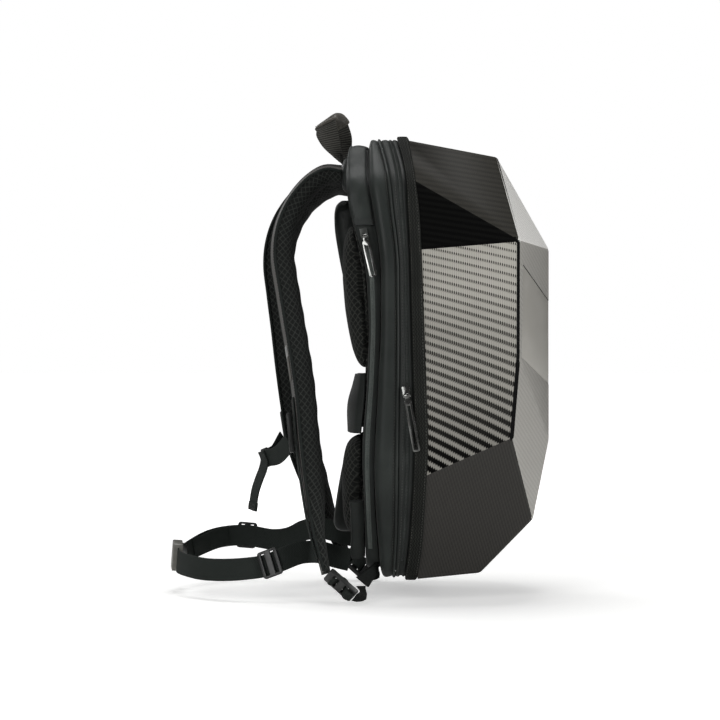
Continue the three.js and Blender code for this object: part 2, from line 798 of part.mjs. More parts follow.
function buildShoulderStraps() {
  for (const [side, word] of [[-1, 'left'], [1, 'right']]) {
    const stations = strapFrame(side);
    addPiece(`strap_pad_${word}`, sweep(stations, strapSection), 'mesh');
    const cover = sweep(stations, (t) => {
      const width = rowValue(strapRoute, 'width', t) + 2 * coverOverhang;
      return flatSection(width, coverThickness, -coverThickness);
    });
    addPiece(`strap_cover_${word}`, cover, 'coatedFabric');
    const span = daisySpan.to - daisySpan.from;
    const kept = stations.filter(({ t }) => t >= daisySpan.from && t <= daisySpan.to);
    const daisy = sweep(kept, (t) => {
      const lift = gap + daisyLift * Math.sin((Math.PI * (t - daisySpan.from)) / span);
      return flatSection(daisyWidth, webbingThickness, lift);
    });
    addPiece(`strap_webbing_${word}`, daisy, 'webbing');
  }
}

// Plates with holes, drawn in their own plane and set in place
function platePiece({ width, height, thickness, holes, radius = 3 }) {
  const edge = [];
  const corners = [[1, -1, -90], [1, 1, 0], [-1, 1, 90], [-1, -1, 180]];
  for (const [sx, sy, start] of corners) {
    for (let k = 0; k <= arcSteps; k += 1) {
      const angle = THREE.MathUtils.degToRad(start + (90 * k) / arcSteps);
      const x = sx * (width / 2 - radius) + Math.cos(angle) * radius;
      const y = sy * (height / 2 - radius) + Math.sin(angle) * radius;
      edge.push(new THREE.Vector2(x, y));
    }
  }
  const slab = new THREE.ExtrudeGeometry(new THREE.Shape(edge), { depth: thickness, bevelEnabled: false });
  slab.translate(0, 0, -thickness / 2);
  let plate = toManifold(slab);
  for (const hole of holes) {
    const cut = new THREE.BoxGeometry(hole.width, hole.height, thickness * 2);
    cut.translate(hole.x, hole.y, 0);
    plate = plate.subtract(toManifold(cut));
  }
  return toGeometry(plate);
}

// Sets a plate's own x, y and z on three directions at a place
function place(geometry, at, xAxis, yAxis) {
  const zAxis = xAxis.clone().cross(yAxis).normalize();
  const matrix = new THREE.Matrix4().makeBasis(xAxis.clone().normalize(), yAxis.clone().normalize(), zAxis);
  matrix.setPosition(at);
  return geometry.applyMatrix4(matrix);
}

// Haul loop over the top: each leg is sewn in flat and turns a quarter on its way up
const haulWidth = 25;
const haulRoute = [
  { x: -50, y: 1.5, z: 219 },
  { x: -49, y: 8, z: 230 },
  { x: -46, y: 15, z: 243 },
  { x: -41, y: 20, z: 257 },
  { x: -30, y: 21, z: 267 },
  { x: 0, y: 17, z: 271 },
  { x: 30, y: 13, z: 269 },
  { x: 41, y: 10, z: 258 },
  { x: 46, y: 7, z: 243 },
  { x: 48, y: 4, z: 231 },
  { x: 49, y: 1.5, z: 219 },
];
const haulFoot = 0.898; // height of the sewn feet, a share of half the height
const haulLegShare = 0.27;
const haulLean = 0.6;
const gripSpan = { from: 0.31, to: 0.69 };
const gripWall = 2.4;

function buildHaulLoop() {
  const lift = haulFoot * halfHeight - haulRoute[0].z;
  const points = haulRoute.map(({ x, y, z }) => V(x, y, z + lift));
  const flatAtEnds = (t) => {
    const share = Math.min(Math.min(t, 1 - t) / haulLegShare, 1);
    const turn = (share * Math.PI) / 2;
    const aside = (t < 0.5 ? 1 : -1) * Math.cos(turn);
    return V(aside, -Math.sin(turn) * Math.cos(haulLean), Math.sin(turn) * Math.sin(haulLean));
  };
  const stations = stationsAlong(frameRoute(points, flatAtEnds), 26);
  const web = sweep(stations, () => flatSection(haulWidth, webbingThickness, -webbingThickness / 2));
  addPiece('haul_loop', web, 'webbing');
  const under = stations.filter(({ t }) => t >= gripSpan.from && t <= gripSpan.to);
  const outer = (t) => {
    const share = (t - gripSpan.from) / (gripSpan.to - gripSpan.from);
    const swell = gripWall * (1 + 0.6 * Math.sin(Math.PI * share));
    const half = haulWidth / 2 + gripWall;
    const high = webbingThickness / 2 + swell;
    return [
      { a: -half, o: -high * 0.6 },
      { a: -half * 0.7, o: -high },
      { a: half * 0.7, o: -high },
      { a: half, o: -high * 0.6 },
      { a: half, o: high * 0.6 },
      { a: half * 0.7, o: high },
      { a: -half * 0.7, o: high },
      { a: -half, o: high * 0.6 },
    ];
  };
  const tunnel = sweep(stations, () =>
    flatSection(haulWidth + 2 * gap, webbingThickness + 2 * gap, -webbingThickness / 2 - gap),
  );
  const grip = toManifold(sweep(under, outer)).subtract(toManifold(tunnel));
  addPiece('haul_grip', toGeometry(grip), 'grip');
}

// Trolley sleeve: a band across the back, sewn at both sides, bulging in the middle
const sleeve = { halfWidth: 133, top: -0.062, foot: -0.325, across: 12, down: 4 };
const sleeveProfile = [
  { z: -0.06, y: -12 },
  { z: -0.12, y: -8 },
  { z: -0.17, y: -4 },
  { z: -0.33, y: -3 },
];

function buildSleeve() {
  const wall = offset('rear', 1.2);
  const rings = [];
  for (let i = 0; i <= sleeve.across; i += 1) {
    const x = lerp(-sleeve.halfWidth, sleeve.halfWidth, i / sleeve.across);
    const bulge = Math.sqrt(1 - (x / sleeve.halfWidth) ** 2);
    const face = [];
    const back = [];
    for (let j = 0; j <= sleeve.down; j += 1) {
      const z = lerp(sleeve.top, sleeve.foot, j / sleeve.down) * halfHeight;
      const y = lerp(wall(z) + clothWall, profileAt(sleeveProfile, z), bulge);
      face.push(V(x, y, z));
      back.push(V(x, y - clothWall, z));
    }
    rings.push([...face, ...back.reverse()]);
  }
  const sheet = toManifold(cappedLoft(rings)).subtract(rearBlock(gap));
  addPiece('trolley_sleeve', toGeometry(sheet), 'coatedFabric');
}

// Waist belt: padded wings on the lower corners and one loop of webbing with its buckle
const wingSpan = { top: -0.66, foot: -0.93 };
const wingReach = 15;

function buildBeltWings() {
  for (const [side, word] of [[-1, 'left'], [1, 'right']]) {
    const section = [
      { inset: rearInset + 8.5, y: offset('rear', gap + 0.5) },
      { inset: rearInset + 4, y: offset('rear', wingReach - 2) },
      { inset: rearInset + 5.5, y: offset('rear', wingReach) },
      { inset: rearInset + 9, y: offset('rear', wingReach) },
      { inset: rearInset + 12, y: offset('rear', gap + 0.5) },
    ];
    const wing = partHoopGeometry(section, wingSpan.foot * halfHeight, wingSpan.top * halfHeight, side);
    addPiece(`belt_wing_${word}`, wing, 'coatedFabric');
  }
}

const beltWidth = 25;
const beltLean = 0.3; // the upper edge leans in towards the wearer
// Belt webbing from each wing round to the buckle
const beltRoutes = {
  left: [
    { x: -96, y: -10.9, z: -221 },
    { x: -90, y: 5, z: -218 },
    { x: -88, y: 22.6, z: -213.5 },
    { x: -100, y: 44, z: -213 },
    { x: -113, y: 67, z: -221 },
    { x: -113, y: 82, z: -226.5 },
    { x: -112, y: 100, z: -229.5 },
    { x: -108, y: 123, z: -231.5 },
    { x: -95, y: 149, z: -232.5 },
    { x: -70, y: 173, z: -231 },
    { x: -42, y: 189, z: -229 },
    { x: -27.5, y: 192, z: -226.5 },
  ],
  right: [
    { x: 96.5, y: -11.5, z: -213 },
    { x: 88, y: 5, z: -208 },
    { x: 80, y: 20, z: -203 },
    { x: 81, y: 39.5, z: -199.5 },
    { x: 96, y: 60, z: -204 },
    { x: 112, y: 80, z: -214 },
    { x: 114, y: 99, z: -216 },
    { x: 112, y: 131, z: -211 },
    { x: 102, y: 156, z: -212 },
    { x: 86, y: 174, z: -216 },
    { x: 44, y: 191, z: -225 },
    { x: 27.5, y: 193, z: -227 },
  ],
};
const glideShares = { left: 0.377, right: 0.58 };
const glide = { long: 23, high: 31, thickness: 4, slot: 4, slotHigh: 26, offset: 5.5, stand: 0.9 };
const tailShares = { left: [0.42, 0.86], right: [0.66, 0.9] };
const tailBow = 3.5;
const buckleBody = { long: 25, high: 33, thickness: 11 };

function slotPair(size) {
  return [-1, 1].map((sign) => ({ x: sign * size.offset, y: 0, width: size.slot, height: size.slotHigh }));
}

function buildBelt() {
  for (const [side, word] of [[-1, 'left'], [1, 'right']]) {
    const up = V(side < 0 ? beltLean : 0, 0, 1);
    const route = frameRoute(beltRoutes[word].map(({ x, y, z }) => V(x, y, z)), () => up);
    const stations = stationsAlong(route, 22);
    const middle = -webbingThickness / 2;
    addPiece(`belt_webbing_${word}`, sweep(stations, () => flatSection(beltWidth, webbingThickness, middle)), 'webbing');

    // The loose end lies inside the loop, behind the run that it is folded back from
    const [from, to] = tailShares[word];
    const tailStations = stations.filter(({ t }) => t >= from && t <= to);
    const inwards = side > 0 ? 1 : -1;
    const first = tailStations[0].t;
    const last = tailStations[tailStations.length - 1].t;
    const tail = sweep(tailStations, (t) => {
      const away = tailBow * Math.sin((Math.PI * (t - first)) / (last - first));
      const near = webbingThickness / 2 + gap + away;
      return flatSection(beltWidth * 0.94, webbingThickness, inwards > 0 ? near : -near - webbingThickness);
    });
    addPiece(`belt_tail_${word}`, tail, 'webbing');

    const at = route.curve.getPointAt(glideShares[word]);
    const along = route.curve.getTangentAt(glideShares[word]);
    const upright = up.clone().addScaledVector(along, -up.dot(along)).normalize();
    const flat = along.clone().cross(upright).multiplyScalar(side < 0 ? -1 : 1).normalize();
    at.addScaledVector(flat, webbingThickness / 2 + glide.stand + glide.thickness / 2);
    const plate = platePiece({
      width: glide.long,
      height: glide.high,
      thickness: glide.thickness,
      holes: slotPair(glide),
    });
    addPiece(`tri_glide_${word}`, place(plate, at, along, upright), 'plastic');

    // Buckle half at the end of the run
    const end = route.curve.getPointAt(1);
    const { tangent, across } = stations[stations.length - 1];
    const half = platePiece({
      width: buckleBody.long,
      height: buckleBody.high - (side < 0 ? 0 : 3),
      thickness: buckleBody.thickness - (side < 0 ? 0 : 2),
      holes: [],
      radius: 5,
    });
    end.addScaledVector(tangent, buckleBody.long / 2 + gap * 2);
    addPiece(`belt_buckle_${word}`, place(half, end, tangent, across), 'plastic');
  }
}

// Ladder-lock under each strap, with the webbing that ties it to the bag's lower corner
const lock = { wide: 34, long: 38, thickness: 5, slot: 5, slotWide: 26, offset: 6.5, tilt: 0.5, seat: 2.4, tieGap: 1 };
const lowerWidth = 25;
const tabWidth = 15;
const lockFall = V(0, -0.75, -0.66).normalize();
// Tab at the bag's lower corner: upper, lower, foot and tip corners on the wearer's right, as
// shares of half the width, the front reach and half the height
const tabCorners = [
  { x: 0.6188, y: -0.1804, z: -0.9024 },
  { x: 0.5813, y: -0.1804, z: -0.9472 },
  { x: 0.725, y: -0.1374, z: -1.0102 },
  { x: 0.775, y: -0.087, z: -0.9654 },
];

function tabCorner({ x, y, z }, side) {
  return V(side * x * halfWidth, y * frontReach, z * halfHeight);
}

function buildStrapAnchors() {
  for (const [side, word] of [[-1, 'left'], [1, 'right']]) {
    const last = strapFrame(side)[strapSteps];
    const half = (coverThickness + gap + strapRoute[strapRoute.length - 1].thick) / 2;
    const foot = last.point.clone().addScaledVector(last.out, -half);
    const across = V(1, 0, 0).applyAxisAngle(lockFall, side * lock.tilt);
    const centre = foot.addScaledVector(lockFall, lock.long / 2 + lock.seat);
    const plate = platePiece({
      width: lock.long,
      height: lock.wide,
      thickness: lock.thickness,
      holes: [-1, 1].map((sign) => ({ x: sign * lock.offset, y: 0, width: lock.slot, height: lock.slotWide })),
    });
    addPiece(`ladder_lock_${word}`, place(plate, centre, lockFall, across), 'plastic');

    const start = centre.clone().addScaledVector(lockFall, lock.long / 2 + lock.tieGap);
    const [, , tabFoot, tabTip] = tabCorners.map((corner) => tabCorner(corner, side));
    const tabEdge = tabFoot.clone().sub(tabTip).multiplyScalar(-side);
    const end = tabTip.clone().lerp(tabFoot, 0.5).add(V(side * 2.4, 1.2, -4));
    const tie = [
      start,
      start.clone().addScaledVector(lockFall, 1.5),
      end.clone().add(V(side * 3, -3, -9)),
      end,
    ];
    const turning = (t) => across.clone().lerp(tabEdge.clone().normalize(), t);
    const stations = stationsAlong(frameRoute(tie, turning), 8);
    const narrowing = (t) => flatSection(lerp(lowerWidth, tabWidth, t), webbingThickness, -webbingThickness / 2);
    addPiece(`lower_webbing_${word}`, sweep(stations, narrowing), 'webbing');
  }
}

// Corner tab: a folded piece of webbing sewn into the side seam at the foot
const tabThickness = 2.4;

function buildCornerTabs() {
  for (const [side, word] of [[-1, 'left'], [1, 'right']]) {
    const corners = tabCorners.map((corner) => tabCorner(corner, side));
    const normal = corners[1].clone().sub(corners[0]).cross(corners[2].clone().sub(corners[0])).normalize();
    const shifted = (by) => corners.map((p) => p.clone().addScaledVector(normal, by));
    const tab = toManifold(cappedLoft([shifted(-tabThickness / 2), shifted(tabThickness / 2)]));
    addPiece(`corner_tab_${word}`, toGeometry(tab.subtract(rearBlock(gap, gap))), 'webbing');
  }
}

// Sternum strap: a rail clip on each shoulder strap's webbing, and the drooping strap between
const sternumShare = 0.665;
const sternumWidth = 20;
const railClip = { long: 44, wide: 12, thickness: 5, lift: 2.5, bar: 6, rail: 3 };
const sternumBuckle = { long: 20, high: 22, thickness: 7, radius: 4 };
const sternumMiddle = { y: 91, z: -111.5 };
const sternumDrop = { share: 0.45, y: 2, z: -7 }; // sag of each half's webbing
const sternumFace = V(0, 0.4, 1);
// The loose end below the buckle
const sternumTail = [
  { x: -32, y: 95.8, z: -104 },
  { x: -32, y: 92, z: -115 },
  { x: -32, y: 93.4, z: -124 },
  { x: -32, y: 97.6, z: -135 },
  { x: -31, y: 102.5, z: -150 },
  { x: -30, y: 105.6, z: -171 },
];
const tailAcross = V(1, 0.6, 0.25);

function buildSternumStrap() {
  const middle = V(0, sternumMiddle.y, sternumMiddle.z);
  const thicknessAbove = gap + daisyLift + webbingThickness + railClip.lift;
  for (const [side, word] of [[-1, 'left'], [1, 'right']]) {
    const stations = strapFrame(side);
    const away = (station) => Math.abs(station.t - sternumShare);
    const station = stations.reduce((best, next) => (away(next) < away(best) ? next : best));
    const centre = station.point.clone().addScaledVector(station.out, thicknessAbove);
    const clip = platePiece({
      width: railClip.long,
      height: railClip.wide,
      thickness: railClip.thickness,
      holes: [
        { x: 0, y: 0, width: railClip.long - 2 * railClip.bar, height: railClip.wide - 2 * railClip.rail },
      ],
    });
    addPiece(`sternum_clip_${word}`, place(clip, centre, station.tangent, station.across), 'plastic');

    const near = middle.clone().add(V(side * (sternumBuckle.long + 2 * gap), 0, 0));
    const start = centre.clone().addScaledVector(station.tangent, railClip.long / 4);
    start.add(V(-side * (railClip.wide / 2 + 3.5), 3, 0));
    const sag = start.clone().lerp(near, sternumDrop.share).add(V(0, sternumDrop.y, sternumDrop.z));
    const points = [start, sag, near.clone().add(V(side * 10, 0, 0)), near];
    const web = stationsAlong(frameRoute(points, () => sternumFace), 10);
    const flat = () => flatSection(sternumWidth, webbingThickness, -webbingThickness / 2);
    addPiece(`sternum_webbing_${word}`, sweep(web, flat), 'webbing');

    const half = platePiece({
      width: sternumBuckle.long,
      height: sternumBuckle.high - (side < 0 ? 0 : 3),
      thickness: sternumBuckle.thickness - (side < 0 ? 0 : 1.5),
      holes: [],
      radius: sternumBuckle.radius,
    });
    const at = middle.clone().add(V((side * (sternumBuckle.long + gap)) / 2, 0, 0));
    addPiece(`sternum_buckle_${word}`, place(half, at, V(1, 0, 0), sternumFace), 'plastic');
  }
  const tailPoints = sternumTail.map(({ x, y, z }) => V(x, y, z));
  const tail = stationsAlong(frameRoute(tailPoints, () => tailAcross), 10);
  const flat = () => flatSection(sternumWidth, webbingThickness, -webbingThickness / 2);
  addPiece('sternum_tail', sweep(tail, flat), 'webbing');
}

// Zipper slider with its bridge, and the pull that hangs on the bridge's pin
const slider = { long: 12, wide: 8, high: 2.8 };
const pin = { radius: 0.9, reach: 3.4, above: 3.1 };
const pull = { wide: 8, thickness: 1.8, eye: 2.6, slotWide: 3.2 };
const pullClearance = 0.5;

// A frame on a side band: outwards normal and the direction in which a pull hangs
function sideFrame(side, z, inset, lineY, hang) {
  const high = outline.filter((p) => p.x * side > 0).sort((a, b) => Math.abs(a.z - z) - Math.abs(b.z - z));
  const above = high.filter((p) => p.z >= z)[0];
  const below = high.filter((p) => p.z < z)[0];
  const t = (above.z - z) / (above.z - below.z);
  const normal = V(lerp(above.nx, below.nx, t), 0, lerp(above.nz, below.nz, t)).normalize();
  const at = V(lerp(above.x, below.x, t), lineY(z), z).addScaledVector(normal, -inset);
  const down = V(0, -Math.sin(hang), -Math.cos(hang));
  down.addScaledVector(normal, -down.dot(normal)).normalize();
  return { at, normal, down, axis: down.clone().cross(normal).normalize() };
}

function sliderGeometry(frame) {
  const { at, normal, down, axis } = frame;
  const solid = (width, height, depth, along, out) => {
    const box = new THREE.BoxGeometry(width, height, depth);
    const centre = at.clone().addScaledVector(down, along).addScaledVector(normal, out);
    return (aside) => toManifold(place(box.clone(), centre.clone().addScaledVector(axis, aside), down, axis));
  };
  const postHigh = pin.above + pin.radius;
  const body = solid(slider.long, slider.wide, slider.high, -slider.long / 2 + 2, slider.high / 2)(0);
  const post = solid(2.4, 1.2, postHigh + 0.4, 0, slider.high + postHigh / 2 - 0.2);
  const bar = new THREE.CylinderGeometry(pin.radius, pin.radius, 2 * pin.reach, 8);
  const barAt = at.clone().addScaledVector(normal, slider.high + pin.above);
  const rod = toManifold(place(bar, barAt, down, axis));
  return toGeometry(body.add(post(pin.reach)).add(post(-pin.reach)).add(rod));
}

function pullGeometry(frame, long) {
  const barAt = frame.at.clone().addScaledVector(frame.normal, slider.high + pin.above);
  const eyeWide = 2 * (pin.reach - 0.6 - pullClearance);
  const turn = [];
  for (let k = 0; k <= 6; k += 1) {
    const angle = Math.PI / 2 + (Math.PI * k) / 6;
    turn.push([Math.cos(angle) * pull.eye, Math.sin(angle) * pull.eye]);
  }
  const half = pull.thickness / 2;
  const side = [...turn, [pull.eye * 0.6, -half], [long, -half], [long, half], [pull.eye * 0.6, half]];
  const shape = new THREE.Shape(side.map(([x, y]) => new THREE.Vector2(x, y)));
  const hole = [];
  for (let k = 0; k < 8; k += 1) {
    const angle = (-Math.PI * 2 * k) / 8;
    const radius = pin.radius + pullClearance;
    hole.push(new THREE.Vector2(Math.cos(angle) * radius, Math.sin(angle) * radius));
  }
  shape.holes.push(new THREE.Path(hole));
  const eye = new THREE.ExtrudeGeometry(shape, { depth: eyeWide, bevelEnabled: false });
  eye.translate(0, 0, -eyeWide / 2);
  const bodyFrom = pull.eye + 2.4;
  const plate = platePiece({
    width: long - bodyFrom,
    height: pull.wide,
    thickness: pull.thickness,
    holes: [{ x: 1.5, y: 0, width: long - bodyFrom - 9, height: pull.slotWide }],
    radius: 2,
  });
  plate.translate((long + bodyFrom) / 2, 0, 0);
  const slot = new THREE.BoxGeometry(long - bodyFrom - 9, pull.slotWide, pull.thickness * 2);
  slot.translate((long + bodyFrom) / 2 + 1.5, 0, 0);
  // The eye is drawn in the plane of the swing: its depth lies along the pin
  const eyeTurned = place(eye, V(0, 0, 0), V(1, 0, 0), V(0, 0, 1));
  const whole = toManifold(eyeTurned).add(toManifold(plate)).subtract(toManifold(slot));
  return place(toGeometry(whole), barAt, frame.down, frame.axis);
}

const pulls = [
  { name: 'rear_left', side: -1, z: 0.545, hang: 0.22, long: 46, band: 'rear' },
  { name: 'rear_right', side: 1, z: 0.545, hang: 0.22, long: 46, band: 'rear' },
  { name: 'front', side: -1, z: -0.155, hang: 0.18, long: 61, band: 'front' },
];

function buildPulls() {
  for (const { name, side, z, hang, long, band: on } of pulls) {
    const line = on === 'rear' ? rearZipperLine : frontZipperLine;
    const surface = (on === 'rear' ? rearInset : 2.7) - gap - zipperProud;
    const frame = sideFrame(side, z * halfHeight, surface - gap, line, hang);
    addPiece(`slider_${name}`, sliderGeometry(frame), 'darkChrome');
    const mesh = addPiece(`pull_${name}`, pullGeometry(frame, long), 'darkChrome');
    const pinAt = frame.at.clone().addScaledVector(frame.normal, slider.high + pin.above);
    mesh.userData.hinge = { at: pinAt.toArray(), axis: frame.axis.toArray() };
  }
}

buildMainBody();
buildRearCompartment();
buildBands();
buildZippers();
buildTopHood();
buildShell();
buildBackPanel();
buildShoulderStraps();
buildHaulLoop();
buildSleeve();
buildBeltWings();
buildBelt();
buildStrapAnchors();
buildCornerTabs();
buildSternumStrap();
buildPulls();

export default backpack;
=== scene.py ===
"""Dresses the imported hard-shell backpack: cloth bands, carbon shell, pads, straps, belt and fittings."""

import logging
import math
from collections.abc import Callable, Iterator, Sequence
from contextlib import contextmanager
from dataclasses import dataclass, field, replace
from enum import Enum

import bpy
import numpy as np
from mathutils import Matrix, Vector, noise


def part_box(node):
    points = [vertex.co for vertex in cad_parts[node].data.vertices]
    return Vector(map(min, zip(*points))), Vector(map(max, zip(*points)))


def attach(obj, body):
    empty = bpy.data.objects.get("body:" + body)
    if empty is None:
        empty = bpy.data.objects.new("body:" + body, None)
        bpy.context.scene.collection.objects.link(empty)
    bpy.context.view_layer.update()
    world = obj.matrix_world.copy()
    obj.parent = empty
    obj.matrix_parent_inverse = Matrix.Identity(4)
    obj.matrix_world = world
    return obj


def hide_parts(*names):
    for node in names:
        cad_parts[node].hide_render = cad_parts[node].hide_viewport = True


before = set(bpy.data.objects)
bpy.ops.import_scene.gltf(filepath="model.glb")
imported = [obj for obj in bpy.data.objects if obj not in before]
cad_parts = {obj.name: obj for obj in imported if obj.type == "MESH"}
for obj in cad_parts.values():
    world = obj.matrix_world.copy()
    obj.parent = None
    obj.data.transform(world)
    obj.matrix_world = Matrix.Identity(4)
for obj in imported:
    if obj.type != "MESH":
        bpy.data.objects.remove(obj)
MM = 0.001
PACK = "pack"
GAP = 0.3 * MM
MERGE = 2e-6
HALF_WIDTH = 160 * MM
HALF_HEIGHT = 246 * MM
REACH = 230 * MM
SIDES = {"left": -1, "right": 1}
STITCH = (2.2 * MM, 0.6 * MM, 0.5 * MM)
OUTLINE_STITCH = (2.3 * MM, 0.55 * MM, 0.5 * MM)
BOX_STITCH = (2.0 * MM, 0.6 * MM, 0.5 * MM)
GRIP_STITCH = (2.2 * MM, 0.6 * MM, 0.6 * MM)

log = logging.getLogger("backpack")
Socket = bpy.types.NodeSocket
Material = bpy.types.Material
Object = bpy.types.Object


# Small helpers for objects and meshes
def only(obj: Object) -> None:
    """Leaves one object selected and active.

    Args:
        obj: the object.
    """
    bpy.ops.object.select_all(action="DESELECT")
    obj.select_set(True)
    bpy.context.view_layer.objects.active = obj


@contextmanager
def editing(obj: Object) -> Iterator[None]:
    """Opens edit mode with every vertex selected, and closes it again.

    Args:
        obj: the object.

    Returns:
        Nothing, while edit mode is open.
    """
    only(obj)
    bpy.ops.object.mode_set(mode="EDIT")
    bpy.ops.mesh.select_mode(type="VERT")
    bpy.ops.mesh.select_all(action="SELECT")
    yield
    bpy.ops.object.mode_set(mode="OBJECT")


def worked(obj: Object, kind: str, **settings: object) -> Object:
    """Adds a modifier and applies it.

    Args:
        obj: the piece.
        kind: the modifier's type.
        settings: its settings, by name.

    Returns:
        The same piece.
    """
    only(obj)
    modifier = obj.modifiers.new(kind.title(), kind)
    for key, value in settings.items():
        setattr(modifier, key, value)
    bpy.ops.object.modifier_apply(modifier=modifier.name)
    return obj


def smoothed(obj: Object, degrees: float = 40) -> Object:
    """Shades the faces smooth where they meet at less than an angle.

    Args:
        obj: the piece.
        degrees: the angle.

    Returns:
        The same piece.
    """
    only(obj)
    bpy.ops.object.shade_smooth_by_angle(angle=math.radians(degrees))
    return obj


def closed(obj: Object) -> Object:
    """Merges the seam, fills the open ends and turns the faces outwards.

    Args:
        obj: a skin that meets itself along a seam.

    Returns:
        The same piece, as a closed solid.
    """
    with editing(obj):
        bpy.ops.mesh.remove_doubles(threshold=MERGE)
        bpy.ops.mesh.select_all(action="SELECT")
        bpy.ops.mesh.fill_holes(sides=0)
        bpy.ops.mesh.select_all(action="SELECT")
        bpy.ops.mesh.normals_make_consistent(inside=False)
    return obj


def skin(name: str, rows: np.ndarray, u: np.ndarray, v: np.ndarray) -> Object:
    """Lays a grid on rows of points.

    Args:
        name: the new object's name.
        rows: points by row and column, in metres.
        u: distance along the columns at each point, for the UV map.
        v: distance along the rows at each point.

    Returns:
        The new object.
    """
    high, wide = rows.shape[:2]
    bpy.ops.object.select_all(action="DESELECT")
    bpy.ops.mesh.primitive_grid_add(x_subdivisions=wide - 1, y_subdivisions=high - 1, size=2)
    obj = bpy.context.object
    obj.name = obj.data.name = name
    mesh = obj.data
    flat = np.empty(len(mesh.vertices) * 3)
    mesh.vertices.foreach_get("co", flat)
    flat = flat.reshape(-1, 3)
    i = np.rint((flat[:, 0] + 1) / 2 * (wide - 1)).astype(int)
    j = np.rint((flat[:, 1] + 1) / 2 * (high - 1)).astype(int)
    mesh.vertices.foreach_set("co", rows[j, i].ravel())
    corners = np.empty(len(mesh.loops), dtype=np.int32)
    mesh.loops.foreach_get("vertex_index", corners)
    mapped = np.stack([u[j, i], v[j, i]], axis=1)[corners]
    mesh.uv_layers.active.data.foreach_set("uv", mapped.ravel())
    mesh.update()
    return obj


def copied(node: str, name: str) -> Object:
    """Makes a welded copy of a CAD node, with its flat areas as single faces.

    Args:
        node: the CAD node.
        name: the copy's name.

    Returns:
        The copy, without a material.
    """
    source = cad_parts[node]
    obj = bpy.data.objects.new(name, source.data.copy())
    bpy.context.scene.collection.objects.link(obj)
    obj.data.materials.clear()
    with editing(obj):
        bpy.ops.mesh.remove_doubles(threshold=MERGE)
        bpy.ops.mesh.select_all(action="SELECT")
        bpy.ops.mesh.dissolve_limited(angle_limit=math.radians(0.5))
    return obj


def settled(
    obj: Object,
    finish: Material,
    nodes: Sequence[str] = (),
    body: str = PACK,
) -> Object:
    """Gives a piece its finish, its body and the nodes that it stands for.

    Args:
        obj: the finished piece.
        finish: its material, unless it has its own already.
        nodes: CAD nodes that it replaces.
        body: the CAD body that it rides on.

    Returns:
        The same piece.
    """
    if not obj.data.materials:
        obj.data.materials.append(finish)
    if nodes:
        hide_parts(*nodes)
    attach(obj, body)
    log.info("%s: %d faces", obj.name, len(obj.data.polygons))
    return obj


def points_of(obj: Object) -> np.ndarray:
    """The vertices' places as rows of x, y and z.

    Args:
        obj: the piece.

    Returns:
        The places, in metres.
    """
    flat = np.empty(len(obj.data.vertices) * 3)
    obj.data.vertices.foreach_get("co", flat)
    return flat.reshape(-1, 3)


def move_points(obj: Object, places: np.ndarray) -> None:
    """Puts the vertices at new places."""
    obj.data.vertices.foreach_set("co", places.ravel())
    obj.data.update()


def crumpled(obj: Object, height: float, size: float) -> Object:
    """Pushes each vertex in or out a little, as cloth is never quite flat.

    Args:
        obj: the piece.
        height: how far the cloth rises and falls, in metres.
        size: how long a fold is, in metres.

    Returns:
        The same piece.
    """
    places = points_of(obj)
    normals = np.empty(len(obj.data.vertices) * 3)
    obj.data.vertices.foreach_get("normal", normals)
    drift = [noise.noise(Vector(p) / size) for p in places]
    move_points(obj, places + normals.reshape(-1, 3) * np.array(drift)[:, None] * height)
    return obj


def inflated(obj: Object, voxel: float, pressure: float, cap: float) -> Object:
    """Fills a pad as foam fills its cover, by a short cloth simulation.

    Args:
        obj: a closed shape, a little smaller than the pad.
        voxel: size of the new mesh's faces, in metres.
        pressure: how hard the filling pushes.
        cap: how far a point may move, in metres.

    Returns:
        The same object with its new mesh.
    """
    worked(obj, "REMESH", mode="VOXEL", voxel_size=voxel)
    worked(obj, "SMOOTH", factor=0.5, iterations=3)
    before = points_of(obj)
    only(obj)
    cloth = obj.modifiers.new("Cloth", "CLOTH")
    cloth.settings.use_pressure = True
    cloth.settings.uniform_pressure_force = pressure
    cloth.settings.effector_weights.gravity = 0
    cloth.settings.quality = 4
    for step in range(1, 21):
        bpy.context.scene.frame_set(step)
    bpy.ops.object.modifier_apply(modifier=cloth.name)
    bpy.context.scene.frame_set(1)
    moved = points_of(obj) - before
    far = np.linalg.norm(moved, axis=1, keepdims=True)
    move_points(obj, before + moved * np.minimum(1, cap / np.maximum(far, 1e-9)))
    worked(obj, "SUBSURF", levels=1, render_levels=1)
    return smoothed(obj, 180)


def repeated(name: str, unit: Object, at: np.ndarray, along: np.ndarray, out: np.ndarray) -> Object:
    """Copies one small shape to many places, as one mesh.

    Args:
        name: the new object's name.
        unit: the shape at the origin, long in x and high in z. It is used up.
        at: the places.
        along: directions for the shape's x.
        out: directions for its z.

    Returns:
        The new object.
    """
    shape = points_of(unit)
    faces = [list(p.vertices) for p in unit.data.polygons]
    along = along / np.linalg.norm(along, axis=1, keepdims=True)
    across = np.cross(out, along)
    across /= np.linalg.norm(across, axis=1, keepdims=True)
    up = np.cross(along, across)
    axes = np.stack([along, across, up], axis=1)
    places = (np.einsum("vk,nkc->nvc", shape, axes) + at[:, None, :]).reshape(-1, 3)
    step = len(shape)
    mesh = bpy.data.meshes.new(name)
    shifted = [[v + n * step for v in face] for n in range(len(at)) for face in faces]
    mesh.from_pydata(places.tolist(), [], shifted)
    obj = bpy.data.objects.new(name, mesh)
    bpy.context.scene.collection.objects.link(obj)
    bpy.data.objects.remove(unit)
    return smoothed(obj, 180)


